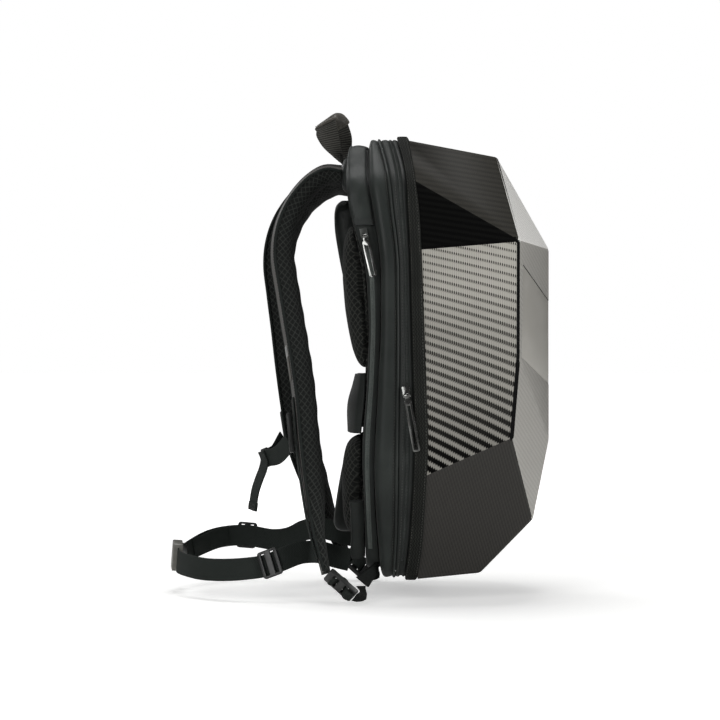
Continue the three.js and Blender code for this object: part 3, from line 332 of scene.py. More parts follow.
def bead(long: float, wide: float, high: float) -> Object:
    """A small rounded shape at the origin, for stitches and zipper teeth.

    Args:
        long: its size in x, in metres.
        wide: its size in y.
        high: its size in z.

    Returns:
        The new object.
    """
    bpy.ops.object.select_all(action="DESELECT")
    bpy.ops.mesh.primitive_uv_sphere_add(segments=6, ring_count=4, radius=0.5)
    obj = bpy.context.object
    with editing(obj):
        bpy.ops.transform.rotate(value=math.pi / 2, orient_axis="Y", center_override=(0, 0, 0))
        bpy.ops.transform.resize(value=(long, wide, high), center_override=(0, 0, 0))
    return obj


def eased(xs: Sequence[float], ys: Sequence[float], at: np.ndarray) -> np.ndarray:
    """Reads a table with a smooth line through its rows.

    Args:
        xs: where the rows are, rising.
        ys: the rows' values.
        at: where to read.

    Returns:
        The values there.
    """
    known, value = np.asarray(xs, float), np.asarray(ys, float)
    slope = np.gradient(value, known)
    at = np.clip(at, known[0], known[-1])
    i = np.clip(np.searchsorted(known, at) - 1, 0, len(known) - 2)
    span = known[i + 1] - known[i]
    t = (at - known[i]) / span
    start = (1 + 2 * t) * (1 - t) ** 2 * value[i] + t * (1 - t) ** 2 * span * slope[i]
    end = t * t * (3 - 2 * t) * value[i + 1] + t * t * (t - 1) * span * slope[i + 1]
    return start + end


# Materials
class Shader:
    """Builds one node material, node by node."""

    def __init__(self, name: str) -> None:
        """Starts an empty material with one surface shader.

        Args:
            name: the material's name.
        """
        self.material = bpy.data.materials.new(name)
        self.material.use_nodes = True
        self.tree = self.material.node_tree
        self.tree.nodes.clear()
        self.surface = self.add("ShaderNodeBsdfPrincipled")
        output = self.add("ShaderNodeOutputMaterial")
        self.tree.links.new(self.surface.outputs[0], output.inputs["Surface"])

    def add(self, kind: str, settings: dict | None = None, **sockets: object) -> bpy.types.Node:
        """Adds a node.

        Args:
            kind: the node's type.
            settings: its settings, by name.
            sockets: a value or a link for each input, by name.

        Returns:
            The new node.
        """
        node = self.tree.nodes.new(kind)
        for key, value in (settings or {}).items():
            setattr(node, key, value)
        for key, value in sockets.items():
            self.feed(node, key.replace("_", " "), value)
        return node

    def feed(self, node: bpy.types.Node, name: str, value: object) -> None:
        """Sets a socket, or links it to another.

        Args:
            node: the node.
            name: its input.
            value: a value or a link.
        """
        if isinstance(value, Socket):
            self.tree.links.new(value, node.inputs[name])
        else:
            node.inputs[name].default_value = value

    def math(self, operation: str, a: object, b: object = 0.0, c: object = 0.0) -> Socket:
        """One step of arithmetic.

        Args:
            operation: the node's operation.
            a: the first number or link.
            b: the second.
            c: the third.

        Returns:
            The result.
        """
        node = self.add("ShaderNodeMath", {"operation": operation})
        for i, value in enumerate((a, b, c)):
            if isinstance(value, Socket):
                self.tree.links.new(value, node.inputs[i])
            else:
                node.inputs[i].default_value = value
        return node.outputs[0]

    def split(self, source: str = "Object") -> tuple[Socket, Socket, Socket]:
        """The three numbers of a texture coordinate.

        Args:
            source: which coordinate.

        Returns:
            Its x, y and z.
        """
        place = self.add("ShaderNodeTexCoord").outputs[source]
        parts = self.add("ShaderNodeSeparateXYZ", Vector=place)
        return parts.outputs[0], parts.outputs[1], parts.outputs[2]

    def noise(self, scale: float, detail: float = 3) -> Socket:
        """Cloudy noise from 0 to 1, scale counts per metre."""
        place = self.add("ShaderNodeTexCoord").outputs["Object"]
        return self.add("ShaderNodeTexNoise", Vector=place, Scale=scale, Detail=detail).outputs[0]

    def wave(self, value: Socket, pitch: float) -> Socket:
        """A sine wave from 0 to 1 with a pitch in metres."""
        turn = self.math("MULTIPLY_ADD", value, math.tau / pitch, 0.0)
        return self.math("MULTIPLY_ADD", self.math("SINE", turn), 0.5, 0.5)

    def ramp(self, value: Socket, low: float, high: float) -> Socket:
        """A smooth step from 0 to 1.

        Args:
            value: what is read.
            low: where the step starts.
            high: where it ends.

        Returns:
            The step's height.
        """
        node = self.add("ShaderNodeMapRange", {"interpolation_type": "SMOOTHSTEP"}, Value=value)
        node.inputs["From Min"].default_value = low
        node.inputs["From Max"].default_value = high
        return node.outputs[0]

    def mix(self, share: object, first: object, second: object) -> Socket:
        """One colour mixed into another.

        Args:
            share: how much of the second shows.
            first: a colour or a link.
            second: the other.

        Returns:
            The mixed colour.
        """
        node = self.add("ShaderNodeMix", {"data_type": "RGBA"})
        for index, value in ((0, share), (6, first), (7, second)):
            if isinstance(value, Socket):
                self.tree.links.new(value, node.inputs[index])
            else:
                node.inputs[index].default_value = value if index == 0 else (*value, 1)
        return node.outputs[2]

    def bump(self, height: Socket, depth: float, strength: float = 1.0) -> None:
        """Raises the surface by a height, with a depth in metres."""
        node = self.add("ShaderNodeBump", Height=height, Distance=depth, Strength=strength)
        self.feed(self.surface, "Normal", node.outputs[0])

    def plain(self, **values: float) -> None:
        """Sets sockets that are the same all over the surface."""
        for key, value in values.items():
            self.feed(self.surface, key.replace("_", " "), value)


Colour = tuple[float, float, float]


@dataclass(frozen=True)
class Cloth:
    """Coated cloth: a fine plain weave under a soft satin coat."""

    name: str
    dark: Colour
    light: Colour
    roughness: float = 0.5
    thread: float = 1.1 * MM
    depth: float = 0.1 * MM
    specular: float = 0.28

    def make(self) -> Material:
        """Builds the material.

        Returns:
            The new material.
        """
        shader = Shader(self.name)
        x, y, z = shader.split()
        around = shader.math("SUBTRACT", y, shader.math("ABSOLUTE", x))
        weave = shader.math("MULTIPLY", shader.wave(around, self.thread), shader.wave(z, self.thread))
        cloud = shader.ramp(shader.noise(16, 4), 0.35, 0.7)
        grain = shader.noise(1600, 2)
        shade = shader.math("MULTIPLY_ADD", grain, 0.3, shader.math("MULTIPLY", cloud, 0.7))
        shader.feed(shader.surface, "Base Color", shader.mix(shade, self.dark, self.light))
        rough = shader.math("MULTIPLY_ADD", cloud, 0.1, self.roughness)
        shader.feed(shader.surface, "Roughness", rough)
        shader.plain(Specular_IOR_Level=self.specular, Sheen_Weight=0.06)
        shader.bump(shader.math("ADD", weave, grain), self.depth, 0.5)
        return shader.material


@dataclass(frozen=True)
class SpacerMesh:
    """Knitted spacer mesh: diamond holes between raised cords."""

    name: str
    hole: Colour
    cord: Colour
    wide: float = 7 * MM
    high: float = 8 * MM
    on_uv: bool = False

    def make(self) -> Material:
        """Builds the material.

        Returns:
            The new material.
        """
        shader = Shader(self.name)
        if self.on_uv:
            across, along, _ = shader.split("UV")
        else:
            x, y, along = shader.split()
            across = shader.math("SUBTRACT", y, shader.math("ABSOLUTE", x))
        a = shader.math("DIVIDE", across, self.wide)
        b = shader.math("DIVIDE", along, self.high)
        cords = []
        for kind in ("ADD", "SUBTRACT"):
            place = shader.math("FRACT", shader.math(kind, a, b))
            off = shader.math("ABSOLUTE", shader.math("SUBTRACT", place, 0.5))
            cords.append(shader.ramp(off, 0.33, 0.48))
        lattice = shader.math("MAXIMUM", cords[0], cords[1])
        yarn = shader.math("MULTIPLY", shader.wave(across, 1.1 * MM), shader.wave(along, 1.3 * MM))
        shade = shader.math("MULTIPLY_ADD", lattice, 0.8, shader.math("MULTIPLY", yarn, 0.2))
        shader.feed(shader.surface, "Base Color", shader.mix(shade, self.hole, self.cord))
        shader.plain(Roughness=0.85, Specular_IOR_Level=0.2, Sheen_Weight=0.05)
        shader.bump(shade, 0.9 * MM, 0.8)
        return shader.material


@dataclass(frozen=True)
class Webbing:
    """Woven webbing on its own UV map: ribs across and lines along."""

    name: str
    dark: Colour
    light: Colour
    rib: float = 1.9 * MM
    line: float = 2.4 * MM
    slant: float = 0.8
    on_uv: bool = True
    roughness: float = 0.7

    def make(self) -> Material:
        """Builds the material.

        Returns:
            The new material.
        """
        shader = Shader(self.name)
        if self.on_uv:
            across, along, _ = shader.split("UV")
        else:
            across, y, z = shader.split()
            along = shader.math("ADD", y, z)
        herring = shader.math("PINGPONG", across, self.line)
        slanted = shader.math("MULTIPLY_ADD", herring, self.slant, along)
        ribs = shader.wave(slanted, self.rib)
        lines = shader.wave(across, self.line / 2)
        weave = shader.math("MULTIPLY_ADD", ribs, 0.7, shader.math("MULTIPLY", lines, 0.3))
        cloud = shader.noise(30, 2)
        shade = shader.math("MULTIPLY", weave, shader.math("MULTIPLY_ADD", cloud, 0.6, 0.6))
        shader.feed(shader.surface, "Base Color", shader.mix(shade, self.dark, self.light))
        shader.plain(Roughness=self.roughness, Specular_IOR_Level=0.12)
        shader.bump(weave, 0.35 * MM, 0.8)
        return shader.material


@dataclass(frozen=True)
class Twill:
    """Carbon twill on a facet's own UV map: rows that may fan out and lean towards the foot, with a painted
    reflection on the rows and painted shade towards the foot.
    """

    name: str
    dark: Colour
    light: Colour
    pitch_foot: float = 7 * MM
    pitch_top: float = 7 * MM
    lean_foot: float = 0.0
    lean_top: float = 0.0
    cover_foot: float = 0.5
    cover_top: float = 0.5
    dashes: float = 0.0
    # foot_shade: how much of the painted reflection is left at the facet's foot, as painted shade
    foot_shade: float = 1.0
    high: float = 244 * MM
    tow: float = 2.4 * MM
    roughness: float = 0.35
    metallic: float = 0.0
    specular: float = 0.5
    coat: float = 0.3

    def make(self) -> Material:
        """Builds the material.

        Returns:
            The new material.
        """
        shader = Shader(self.name)
        u, v, _ = shader.split("UV")
        rate_foot, rate_top = 1 / self.pitch_foot, 1 / self.pitch_top
        bend = (rate_top - rate_foot) / self.high / 2
        steep_foot, steep_top = self.lean_foot * rate_foot, self.lean_top * rate_top
        rows = shader.math("MULTIPLY", v, shader.math("MULTIPLY_ADD", v, bend, rate_foot))
        steep = shader.math("MULTIPLY_ADD", v, (steep_top - steep_foot) / self.high, steep_foot)
        phase = shader.math("MULTIPLY_ADD", u, steep, rows)
        tooth = shader.wave(u, self.tow)
        level = shader.math("FRACT", shader.math("MULTIPLY_ADD", tooth, 0.16, phase))
        hill = shader.math("PINGPONG", shader.math("MULTIPLY", level, 2), 1)
        spread = (self.cover_top - self.cover_foot) / self.high
        cover = shader.math("MULTIPLY_ADD", v, spread, self.cover_foot)
        edge = shader.math("SUBTRACT", 1.0, cover)
        above = shader.math("SUBTRACT", hill, edge)
        # The light colour is a painted reflection on the rows of tows that catch the light. More rows reflect
        # towards the top, and dashes grow towards the top.
        row = shader.ramp(above, -0.07, 0.08)
        rise = shader.ramp(v, 0.0, self.high)
        broken = shader.math("MULTIPLY", shader.math("MULTIPLY", tooth, rise), self.dashes)
        bright = shader.math("MAXIMUM", row, broken)
        yarn = shader.math("MULTIPLY_ADD", tooth, 0.25, 0.75)
        cloud = shader.math("MULTIPLY_ADD", shader.noise(9, 2), 0.5, 0.75)
        # Painted shade: the painted reflection gets darker towards the facet's foot.
        painted_foot_shade = shader.math("MULTIPLY_ADD", rise, 1 - self.foot_shade, self.foot_shade)
        lit = shader.math("MULTIPLY", bright, yarn)
        shade = shader.math("MULTIPLY", lit, shader.math("MULTIPLY", cloud, painted_foot_shade))
        shader.feed(shader.surface, "Base Color", shader.mix(shade, self.dark, self.light))
        rough = shader.math("MULTIPLY_ADD", shader.noise(700, 2), 0.12, self.roughness)
        shader.feed(shader.surface, "Roughness", rough)
        shader.plain(Metallic=self.metallic, Specular_IOR_Level=self.specular)
        shader.plain(Coat_Weight=self.coat, Coat_Roughness=0.12)
        shader.bump(bright, 0.18 * MM, 0.5)
        return shader.material


@dataclass(frozen=True)
class Moulded:
    """Moulded plastic, rubber or cast metal with a fine grain and cloudy rubbed patches."""

    name: str
    colour: Colour
    worn: Colour
    roughness: float = 0.45
    metallic: float = 0.0
    grain: float = 900
    coat: float = 0.0
    specular: float = 0.5

    def make(self) -> Material:
        """Builds the material.

        Returns:
            The new material.
        """
        shader = Shader(self.name)
        grain = shader.noise(self.grain, 3)
        cloud = shader.ramp(shader.noise(60, 4), 0.42, 0.75)
        rubbed = shader.math("MULTIPLY", cloud, shader.math("MULTIPLY_ADD", grain, 0.6, 0.4))
        shader.feed(shader.surface, "Base Color", shader.mix(rubbed, self.colour, self.worn))
        rough = shader.math("MULTIPLY_ADD", cloud, 0.12, self.roughness)
        shader.feed(shader.surface, "Roughness", rough)
        shader.plain(Metallic=self.metallic, Coat_Weight=self.coat, Coat_Roughness=0.2)
        shader.plain(Specular_IOR_Level=self.specular)
        shader.bump(grain, 0.05 * MM, 0.4)
        return shader.material


@dataclass(frozen=True)
class DisplayGlass:
    """Dark glass over a fine grid of display dots."""

    name: str = "screen_glass"
    dark: Colour = (0.004, 0.004, 0.005)
    light: Colour = (0.02, 0.021, 0.024)
    pitch: float = 2.2 * MM

    def make(self) -> Material:
        """Builds the material.

        Returns:
            The new material.
        """
        shader = Shader(self.name)
        x, _, z = shader.split()
        dots = shader.math("MULTIPLY", shader.wave(x, self.pitch), shader.wave(z, self.pitch))
        lit = shader.ramp(dots, 0.45, 0.8)
        cloud = shader.noise(20, 2)
        shade = shader.math("MULTIPLY", lit, shader.math("MULTIPLY_ADD", cloud, 0.4, 0.5))
        shader.feed(shader.surface, "Base Color", shader.mix(shade, self.dark, self.light))
        rough = shader.math("MULTIPLY_ADD", cloud, 0.06, 0.08)
        shader.feed(shader.surface, "Roughness", rough)
        shader.plain(Coat_Weight=0.6, Coat_Roughness=0.04)
        return shader.material


@dataclass(frozen=True)
class Floor:
    """Pale studio floor that turns into the white of the backdrop away from the bag."""

    near: float = 0.55
    far: float = 1.5
    dark: Colour = (0.9, 0.9, 0.89)
    light: Colour = (0.94, 0.94, 0.93)
    glow: tuple = (0.55, 0.42)
    roughness: float = 0.7

    def make(self) -> Material:
        """Builds the material.

        Returns:
            The new material.
        """
        shader = Shader("studio_floor")
        x, y, _ = shader.split()
        reach = shader.math("SQRT", shader.math("MULTIPLY_ADD", x, x, shader.math("MULTIPLY", y, y)))
        fade = shader.ramp(reach, self.near, self.far)
        grain = shader.noise(6, 2)
        shader.feed(shader.surface, "Base Color", shader.mix(grain, self.dark, self.light))
        shader.plain(Roughness=self.roughness, Emission_Color=(1, 1, 1, 1))
        seen = shader.add("ShaderNodeLightPath").outputs["Is Camera Ray"]
        glow = shader.math("MULTIPLY_ADD", fade, *self.glow)
        shader.feed(shader.surface, "Emission Strength", shader.math("MULTIPLY", glow, seen))
        return shader.material


class Finish(Enum):
    """The bag's finishes, each built once."""

    BODY = Cloth("body_cloth", (0.0095, 0.0118, 0.0108), (0.02, 0.0235, 0.0215))
    GUSSET = Cloth("gusset_cloth", (0.0095, 0.0122, 0.011), (0.0225, 0.0272, 0.0245), roughness=0.42)
    COVER = Cloth("strap_cloth", (0.034, 0.031, 0.0265), (0.055, 0.051, 0.044), roughness=0.5)
    MESH = SpacerMesh("pad_mesh", (0.0072, 0.0084, 0.0076), (0.05, 0.052, 0.046))
    STRAP_MESH = SpacerMesh("strap_mesh", (0.0052, 0.0062, 0.0056), (0.038, 0.042, 0.038), on_uv=True)
    WEB = Webbing("belt_weave", (0.0105, 0.0128, 0.0117), (0.036, 0.043, 0.039))
    TAB_WEB = Webbing("tab_weave", (0.004, 0.0046, 0.0043), (0.016, 0.018, 0.0165), on_uv=False)
    LEG_WEB = Webbing("haul_weave", (0.002, 0.002, 0.0018), (0.085, 0.083, 0.073), rib=2.7 * MM, slant=0.0)
    BINDING = Webbing(
        "trim_weave", (0.001, 0.001, 0.0009), (0.026, 0.028, 0.0246), rib=3 * MM, line=2.6 * MM
    )
    EDGING = Webbing(
        "strap_edging", (0.009, 0.0108, 0.01), (0.026, 0.031, 0.0285), rib=1.6 * MM, line=1.5 * MM
    )
    TAPE = Webbing("tape_weave", (0.017, 0.02, 0.0186), (0.052, 0.059, 0.055), rib=1.2 * MM)
    REAR_TAPE = Webbing("rear_tape_weave", (0.05, 0.058, 0.0535), (0.15, 0.17, 0.158), rib=1.2 * MM)
    REAR_COIL = Moulded("rear_zipper_coil", (0.06, 0.068, 0.063), (0.14, 0.155, 0.145), roughness=0.45)
    COIL = Moulded("zipper_coil", (0.022, 0.0247, 0.023), (0.055, 0.06, 0.056), roughness=0.45)
    THREAD = Moulded("thread", (0.035, 0.036, 0.032), (0.15, 0.15, 0.135), roughness=0.6, grain=3000)
    PLASTIC = Moulded("moulded_plastic", (0.006, 0.0068, 0.0064), (0.015, 0.0162, 0.0152), roughness=0.36)
    PLATE = Moulded("grey_plastic", (0.13, 0.128, 0.115), (0.22, 0.215, 0.195), roughness=0.35)
    CHROME = Moulded("smoked_chrome", (0.17, 0.172, 0.166), (0.42, 0.42, 0.41), 0.15, 1.0, grain=400)
    SLIDER = Moulded("cast_slider", (0.07, 0.074, 0.07), (0.2, 0.205, 0.195), 0.35, 0.7)
    GRIP = Moulded("grip_rubber", (0.085, 0.079, 0.068), (0.14, 0.132, 0.115), roughness=0.5)
    PANEL = Moulded("side_panel", (0.385, 0.372, 0.34), (0.43, 0.415, 0.385), 0.3, 0.3, coat=0.4)
    REFLECTIVE = Moulded("reflective_tape", (0.4, 0.41, 0.4), (0.6, 0.61, 0.6), 0.3, 0.4)
    LINING = Cloth("shell_lining", (0.008, 0.008, 0.008), (0.015, 0.015, 0.015), roughness=0.7)
    GLASS = DisplayGlass()
    RIDGE = Moulded("shell_ridge", (0.001, 0.001, 0.001), (0.002, 0.002, 0.0018), 0.5, specular=0.05)
    # Lit and shaded copies of one dark carbon twill: each facet's colours are painted. The brow gets a near
    # white painted reflection, and the front and the flank get a light grey one. The crown, the jaw and the
    # wedge get painted shade.
    CROWN = Twill(
        "twill_crown", (0.0175, 0.0163, 0.0132), (0.027, 0.0252, 0.0205), 6 * MM, 6 * MM, 0.12, 0.12,
        roughness=0.55, specular=0.2, coat=0.0,
    )
    WEDGE = Twill(
        "twill_wedge", (0.0003, 0.0003, 0.0003), (0.0026, 0.0027, 0.0024), 6.5 * MM, 6.5 * MM, 0.15, 0.15,
        roughness=0.6, specular=0.06, coat=0.0,
    )
    FLANK = Twill(
        "twill_flank", (0.001, 0.001, 0.001), (0.43, 0.415, 0.375), 11.8 * MM, 7.9 * MM, 0.56, 0.2, 0.41, 0.7,
        dashes=0.9, foot_shade=0.62, roughness=0.45, specular=0.03, coat=0.0,
    )
    BROW = Twill(
        "twill_brow", (0.66, 0.65, 0.62), (0.95, 0.94, 0.91), 6 * MM, 6 * MM, 3.2, 3.2, 0.55, 0.55,
        metallic=0.2, roughness=0.32,
    )
    FRONT = Twill(
        "twill_front", (0.28, 0.27, 0.25), (0.51, 0.495, 0.46), 6 * MM, 6 * MM, 3.2, 3.2, 0.55, 0.55,
        metallic=0.35, roughness=0.32,
    )
    JAW = Twill(
        "twill_jaw", (0.023, 0.0218, 0.0196), (0.033, 0.0308, 0.0276), 7 * MM, 7 * MM, 2.0, 2.0,
        roughness=0.5, specular=0.25, coat=0.03,
    )

    def material(self) -> Material:
        """The material, built at its first use."""
        made = bpy.data.materials.get(self.value.name)
        return made or self.value.make()


# The bag's outline and the lines of its side bands
@dataclass
class Outline:
    """The body seen from the front: a rounded loop that starts at the middle of its foot."""

    corners: tuple = ((0.6, 1.0, 26), (0.91, 0.8, 45), (1.0, 0.49, 80), (1.0, -0.5, 80), (0.66, -0.985, 34))
    arc_steps: int = 12
    step: float = 4.4 * MM

    def __post_init__(self) -> None:
        """Samples the loop evenly."""
        right = [Vector((x * HALF_WIDTH, z * HALF_HEIGHT)) for x, z, _ in self.corners]
        rounds = [radius * MM for _, _, radius in self.corners]
        places = [Vector((-p.x, p.y)) for p in reversed(right)] + right
        radii = rounds[::-1] + rounds
        foot = (0.0, places[0].y, 0.0, -1.0)
        walk = [foot]
        for i, corner in enumerate(places):
            inward = (corner - places[i - 1]).normalized()
            outward = (places[(i + 1) % len(places)] - corner).normalized()
            turn = math.acos(max(-1, min(1, inward.dot(outward))))
            start = Vector((-inward.y, inward.x))
            end = Vector((-outward.y, outward.x))
            centre = corner - inward * radii[i] * math.tan(turn / 2) - start * radii[i]
            for s in range(self.arc_steps + 1):
                t = s / self.arc_steps
                normal = (start * math.sin((1 - t) * turn) + end * math.sin(t * turn)).normalized()
                spot = centre + normal * radii[i]
                walk.append((spot.x, spot.y, normal.x, normal.y))
        walk.append(foot)
        table = np.array(walk)
        runs = np.linalg.norm(np.diff(table[:, :2], axis=0), axis=1)
        self.known = np.concatenate([[0], np.cumsum(runs)])
        self.table = table
        self.length = float(self.known[-1])
        self.count = int(round(self.length / self.step))

    def at(self, s: np.ndarray) -> np.ndarray:
        """Rows of x, z and the outward direction at distances along the loop.

        Args:
            s: the distances.

        Returns:
            The rows, in metres, with a direction of length 1.
        """
        rows = np.stack([np.interp(s, self.known, self.table[:, k]) for k in range(4)], axis=-1)
        rows[..., 2:] /= np.linalg.norm(rows[..., 2:], axis=-1, keepdims=True)
        return rows

    def height_at(self, z: float) -> float:
        """How far along the loop the wearer's left side reaches a height."""
        half = self.known <= self.length / 2
        return float(np.interp(z, self.table[half, 1], self.known[half]))


@dataclass
class BandLines:
    """Where each line of the side lies, as shares of the reach, by share of the half height."""

    z: tuple = (-1.02, -0.92, -0.65, -0.35, -0.08, 0.25, 0.47, 0.65, 0.82, 1.02)
    rear: tuple = (0.118, 0.12, 0.122, 0.122, 0.142, 0.145, 0.12, 0.06, 0.035, 0.035)
    groove: tuple = (0.19, 0.188, 0.176, 0.18, 0.196, 0.207, 0.2, 0.17, 0.14, 0.13)
    piping: tuple = (0.25, 0.262, 0.28, 0.287, 0.291, 0.291, 0.286, 0.262, 0.238, 0.175)
    trim_rear: tuple = (0.3, 0.32, 0.352, 0.368, 0.361, 0.352, 0.346, 0.335, 0.322, 0.262)
    trim_front: tuple = (0.357, 0.383, 0.415, 0.433, 0.422, 0.41, 0.402, 0.39, 0.366, 0.32)

    def line(self, name: str, z: np.ndarray) -> np.ndarray:
        """A line's y at heights, in metres."""
        return -REACH * eased(self.z, getattr(self, name), np.asarray(z) / HALF_HEIGHT)


@dataclass(frozen=True)
class Fold:
    """One line round the bag: how far in from the outline it lies, and where on the side."""

    inset: float
    start: str
    end: str = ""
    share: float = 0.0
    shift: float = 0.0


OUTLINE = Outline()
LINES = BandLines()


def fold_line(fold: Fold, s: np.ndarray, scale: float = 1.0) -> np.ndarray:
    """Follows one fold round the bag.

    Args:
        fold: where it lies, in millimetres.
        s: distances along the outline.
        scale: drawn in towards the middle by this share, for a wall.

    Returns:
        Points in metres.
    """
    x, z, nx, nz = OUTLINE.at(s).T
    x = (x - nx * fold.inset * MM) * scale
    z = (z - nz * fold.inset * MM) * scale
    y = LINES.line(fold.start, z)
    if fold.end:
        y = y + (LINES.line(fold.end, z) - y) * fold.share
    return np.stack([x, y + fold.shift * MM, z], axis=-1)


def fold_lines(folds: Sequence[Fold], s: np.ndarray) -> np.ndarray:
    """Follows several folds round the bag, as rows of points in metres."""
    return np.array([fold_line(fold, s) for fold in folds])


def blended(rows: np.ndarray, count: int) -> np.ndarray:
    """Draws a smooth section through rows of points.

    Args:
        rows: points by row and column.
        count: how many rows it gets.

    Returns:
        The new rows, the first and last as they were.
    """
    at = np.linspace(0, len(rows) - 1, count)
    weights = np.stack([eased(range(len(rows)), unit, at) for unit in np.eye(len(rows))], axis=1)
    return np.einsum("nk,kcd->ncd", weights, rows)


def around(rows: np.ndarray) -> np.ndarray:
    """Distances down the rows at each point."""
    steps = np.linalg.norm(np.diff(rows, axis=0), axis=-1)
    return np.concatenate([np.zeros((1, rows.shape[1])), np.cumsum(steps, axis=0)])


def hoop(name: str, rows: np.ndarray, s: np.ndarray) -> Object:
    """A closed band round the bag, or along a part of its outline.

    Args:
        name: the new object's name.
        rows: the section's points, by row and by place along the outline.
        s: distances along the outline.

    Returns:
        The new object.
    """
    rows = np.concatenate([rows, rows[:1]])
    along = np.broadcast_to(s, rows.shape[:2])
    return closed(skin(name, rows, along, around(rows)))


@dataclass
class SideBands:
    """The cloth and trim between the back and the shell, with its zippers and stitches."""

    cap_shares: tuple = (0.0, 0.2, 0.4, 0.6, 0.8)
    main_out: tuple = (
        Fold(15, "groove", shift=-0.15), Fold(8.5, "groove", "piping", 0.08),
        Fold(3.4, "groove", "piping", 0.22), Fold(1.9, "groove", "piping", 0.42),
        Fold(2.6, "groove", "piping", 0.7), Fold(4, "piping", shift=1.65),
    )
    main_in: tuple = (
        Fold(5.6, "piping", shift=1.65), Fold(4.6, "groove", "piping", 0.6),
        Fold(10, "groove", "piping", 0.28), Fold(17, "groove", shift=-2.15),
    )
    rear_out: tuple = (
        Fold(19.5, "rear"), Fold(15.5, "rear", shift=-0.7), Fold(12.6, "rear", "groove", 0.18),
        Fold(11.4, "rear", "groove", 0.42), Fold(11.5, "rear", "groove", 0.7),
        Fold(13.2, "groove", shift=0.15),
    )
    rear_in: tuple = (
        Fold(15.2, "groove", shift=0.15), Fold(13.5, "rear", "groove", 0.4), Fold(21.5, "rear", shift=-2),
    )
    zip_out: tuple = (
        Fold(3.7, "piping", shift=-1.65), Fold(2.5, "piping", "trim_rear", 0.2),
        Fold(2.3, "piping", "trim_rear", 0.42), Fold(3.5, "piping", "trim_rear", 0.5),
        Fold(3.5, "piping", "trim_rear", 0.7), Fold(2.3, "piping", "trim_rear", 0.78),
        Fold(2.4, "piping", "trim_rear", 0.9), Fold(3.3, "trim_rear", shift=0.15),
    )
    zip_in: tuple = (Fold(5.8, "trim_rear", shift=0.15), Fold(6.2, "piping", shift=-1.65))
    trim_out: tuple = (
        Fold(2.2, "trim_rear", shift=-0.15), Fold(0.2, "trim_rear", "trim_front", 0.03),
        Fold(-1.2, "trim_rear", "trim_front", 0.16), Fold(-1.5, "trim_rear", "trim_front", 0.5),
        Fold(-1.2, "trim_rear", "trim_front", 0.84), Fold(0.2, "trim_rear", "trim_front", 0.97),
        Fold(2.2, "trim_front", shift=0.15),
    )
    trim_in: tuple = (Fold(6, "trim_front", shift=0.15), Fold(6, "trim_rear", shift=-0.15))
    main_rows: int = 16
    rear_rows: int = 14
    zip_rows: int = 22
    piping_line: Fold = Fold(2.6, "piping")
    piping_radius: float = 1.5
    welt_rows: int = 12
    hood_hem: float = 0.6
    hood_size: tuple = (150, 18)
    hood_fill: float = 0.3
    hood_seam: Fold = Fold(9.0, "rear", "groove", 0.16)
    hood_seam_radius: float = 0.9
    hood_out: tuple = (
        Fold(12, "groove", shift=1.4), Fold(9.4, "groove", shift=1.9), Fold(8.4, "rear", "groove", 0.72),
        Fold(8.1, "rear", "groove", 0.45), Fold(9, "rear", "groove", 0.12), Fold(10.4, "rear", shift=-2.3),
        Fold(13, "rear", shift=-3),
    )
    hood_in: tuple = (Fold(11.6, "rear", "groove", 0.4),)
    bag_wave: tuple = (0.45 * MM, 46 * MM)
    band_wave: tuple = (0.25 * MM, 30 * MM)
    hood_waves: tuple = ((1.6 * MM, 26 * MM), (0.6 * MM, 11 * MM))
    hem_wide: float = 7 * MM
    hem_size: tuple = (6, 10)
    hem_lift: float = 0.9
    hem_sink: float = 0.5
    trim_seams: dict = field(default_factory=lambda: {"rear": 0.14, "front": 0.86})
    rear_zipper: tuple = (-0.86, 0.58)
    front_zipper: float = -0.9
    rear_tape: Fold = Fold(11.1, "rear", "groove", 0.42)
    front_tape: Fold = Fold(3.2, "piping", "trim_rear", 0.6)
    tape_section: tuple = ((-0.3, 2.5), (0.35, 2.2), (0.4, 0), (0.35, -2.2), (-0.3, -2.5))
    tape_step: float = 6 * MM
    tooth: tuple = (1.1 * MM, 3.2 * MM, 1.1 * MM)
    tooth_lift: float = 0.55
    tooth_pitch: float = 1.6 * MM
    stitch_pitch: float = 3.4 * MM

    def build(self) -> None:
        """Makes every band, from the wearer's side to the shell."""
        s = np.linspace(0, OUTLINE.length, OUTLINE.count + 1)
        main, rear = (self.main_out, self.main_in), (self.rear_out, self.rear_in)
        self.bag("main_bag", *main, s, self.main_rows, "main_body", Finish.GUSSET)
        self.bag("laptop_bag", *rear, s, self.rear_rows, "rear_compartment", Finish.BODY)
        self.band("zip_band", self.zip_out, self.zip_in, s, self.zip_rows, "front_zip_band", Finish.BODY)
        self.trim(s)
        self.welt("piping_cord", self.piping_line, s, self.piping_radius, Finish.GUSSET, ["piping"])
        self.hood()
        self.zippers()

    def bag(
        self, name: str, out: tuple, inner: tuple, s: np.ndarray, count: int, node: str, finish: Finish
    ) -> None:
        """A cup of padded cloth: closed towards the wearer and open to the front.

        Args:
            name: the piece's name.
            out: folds of the outside, from the wall to the rim.
            inner: folds of the inside, from the rim back to the wall.
            s: distances along the outline.
            count: rows on the outside.
            node: the CAD node that it replaces.
            finish: its cloth.
        """
        wall = [fold_line(out[0], s, share) for share in self.cap_shares]
        outside = blended(fold_lines(out, s), count)
        inside = fold_lines(inner, s)
        back = [fold_line(inner[-1], s, share) for share in reversed(self.cap_shares)]
        rows = np.concatenate([wall, outside, inside, back])
        obj = closed(skin(name, rows, np.broadcast_to(s, rows.shape[:2]), around(rows)))
        crumpled(obj, *self.bag_wave)
        settled(smoothed(obj, 50), finish.material(), [node])

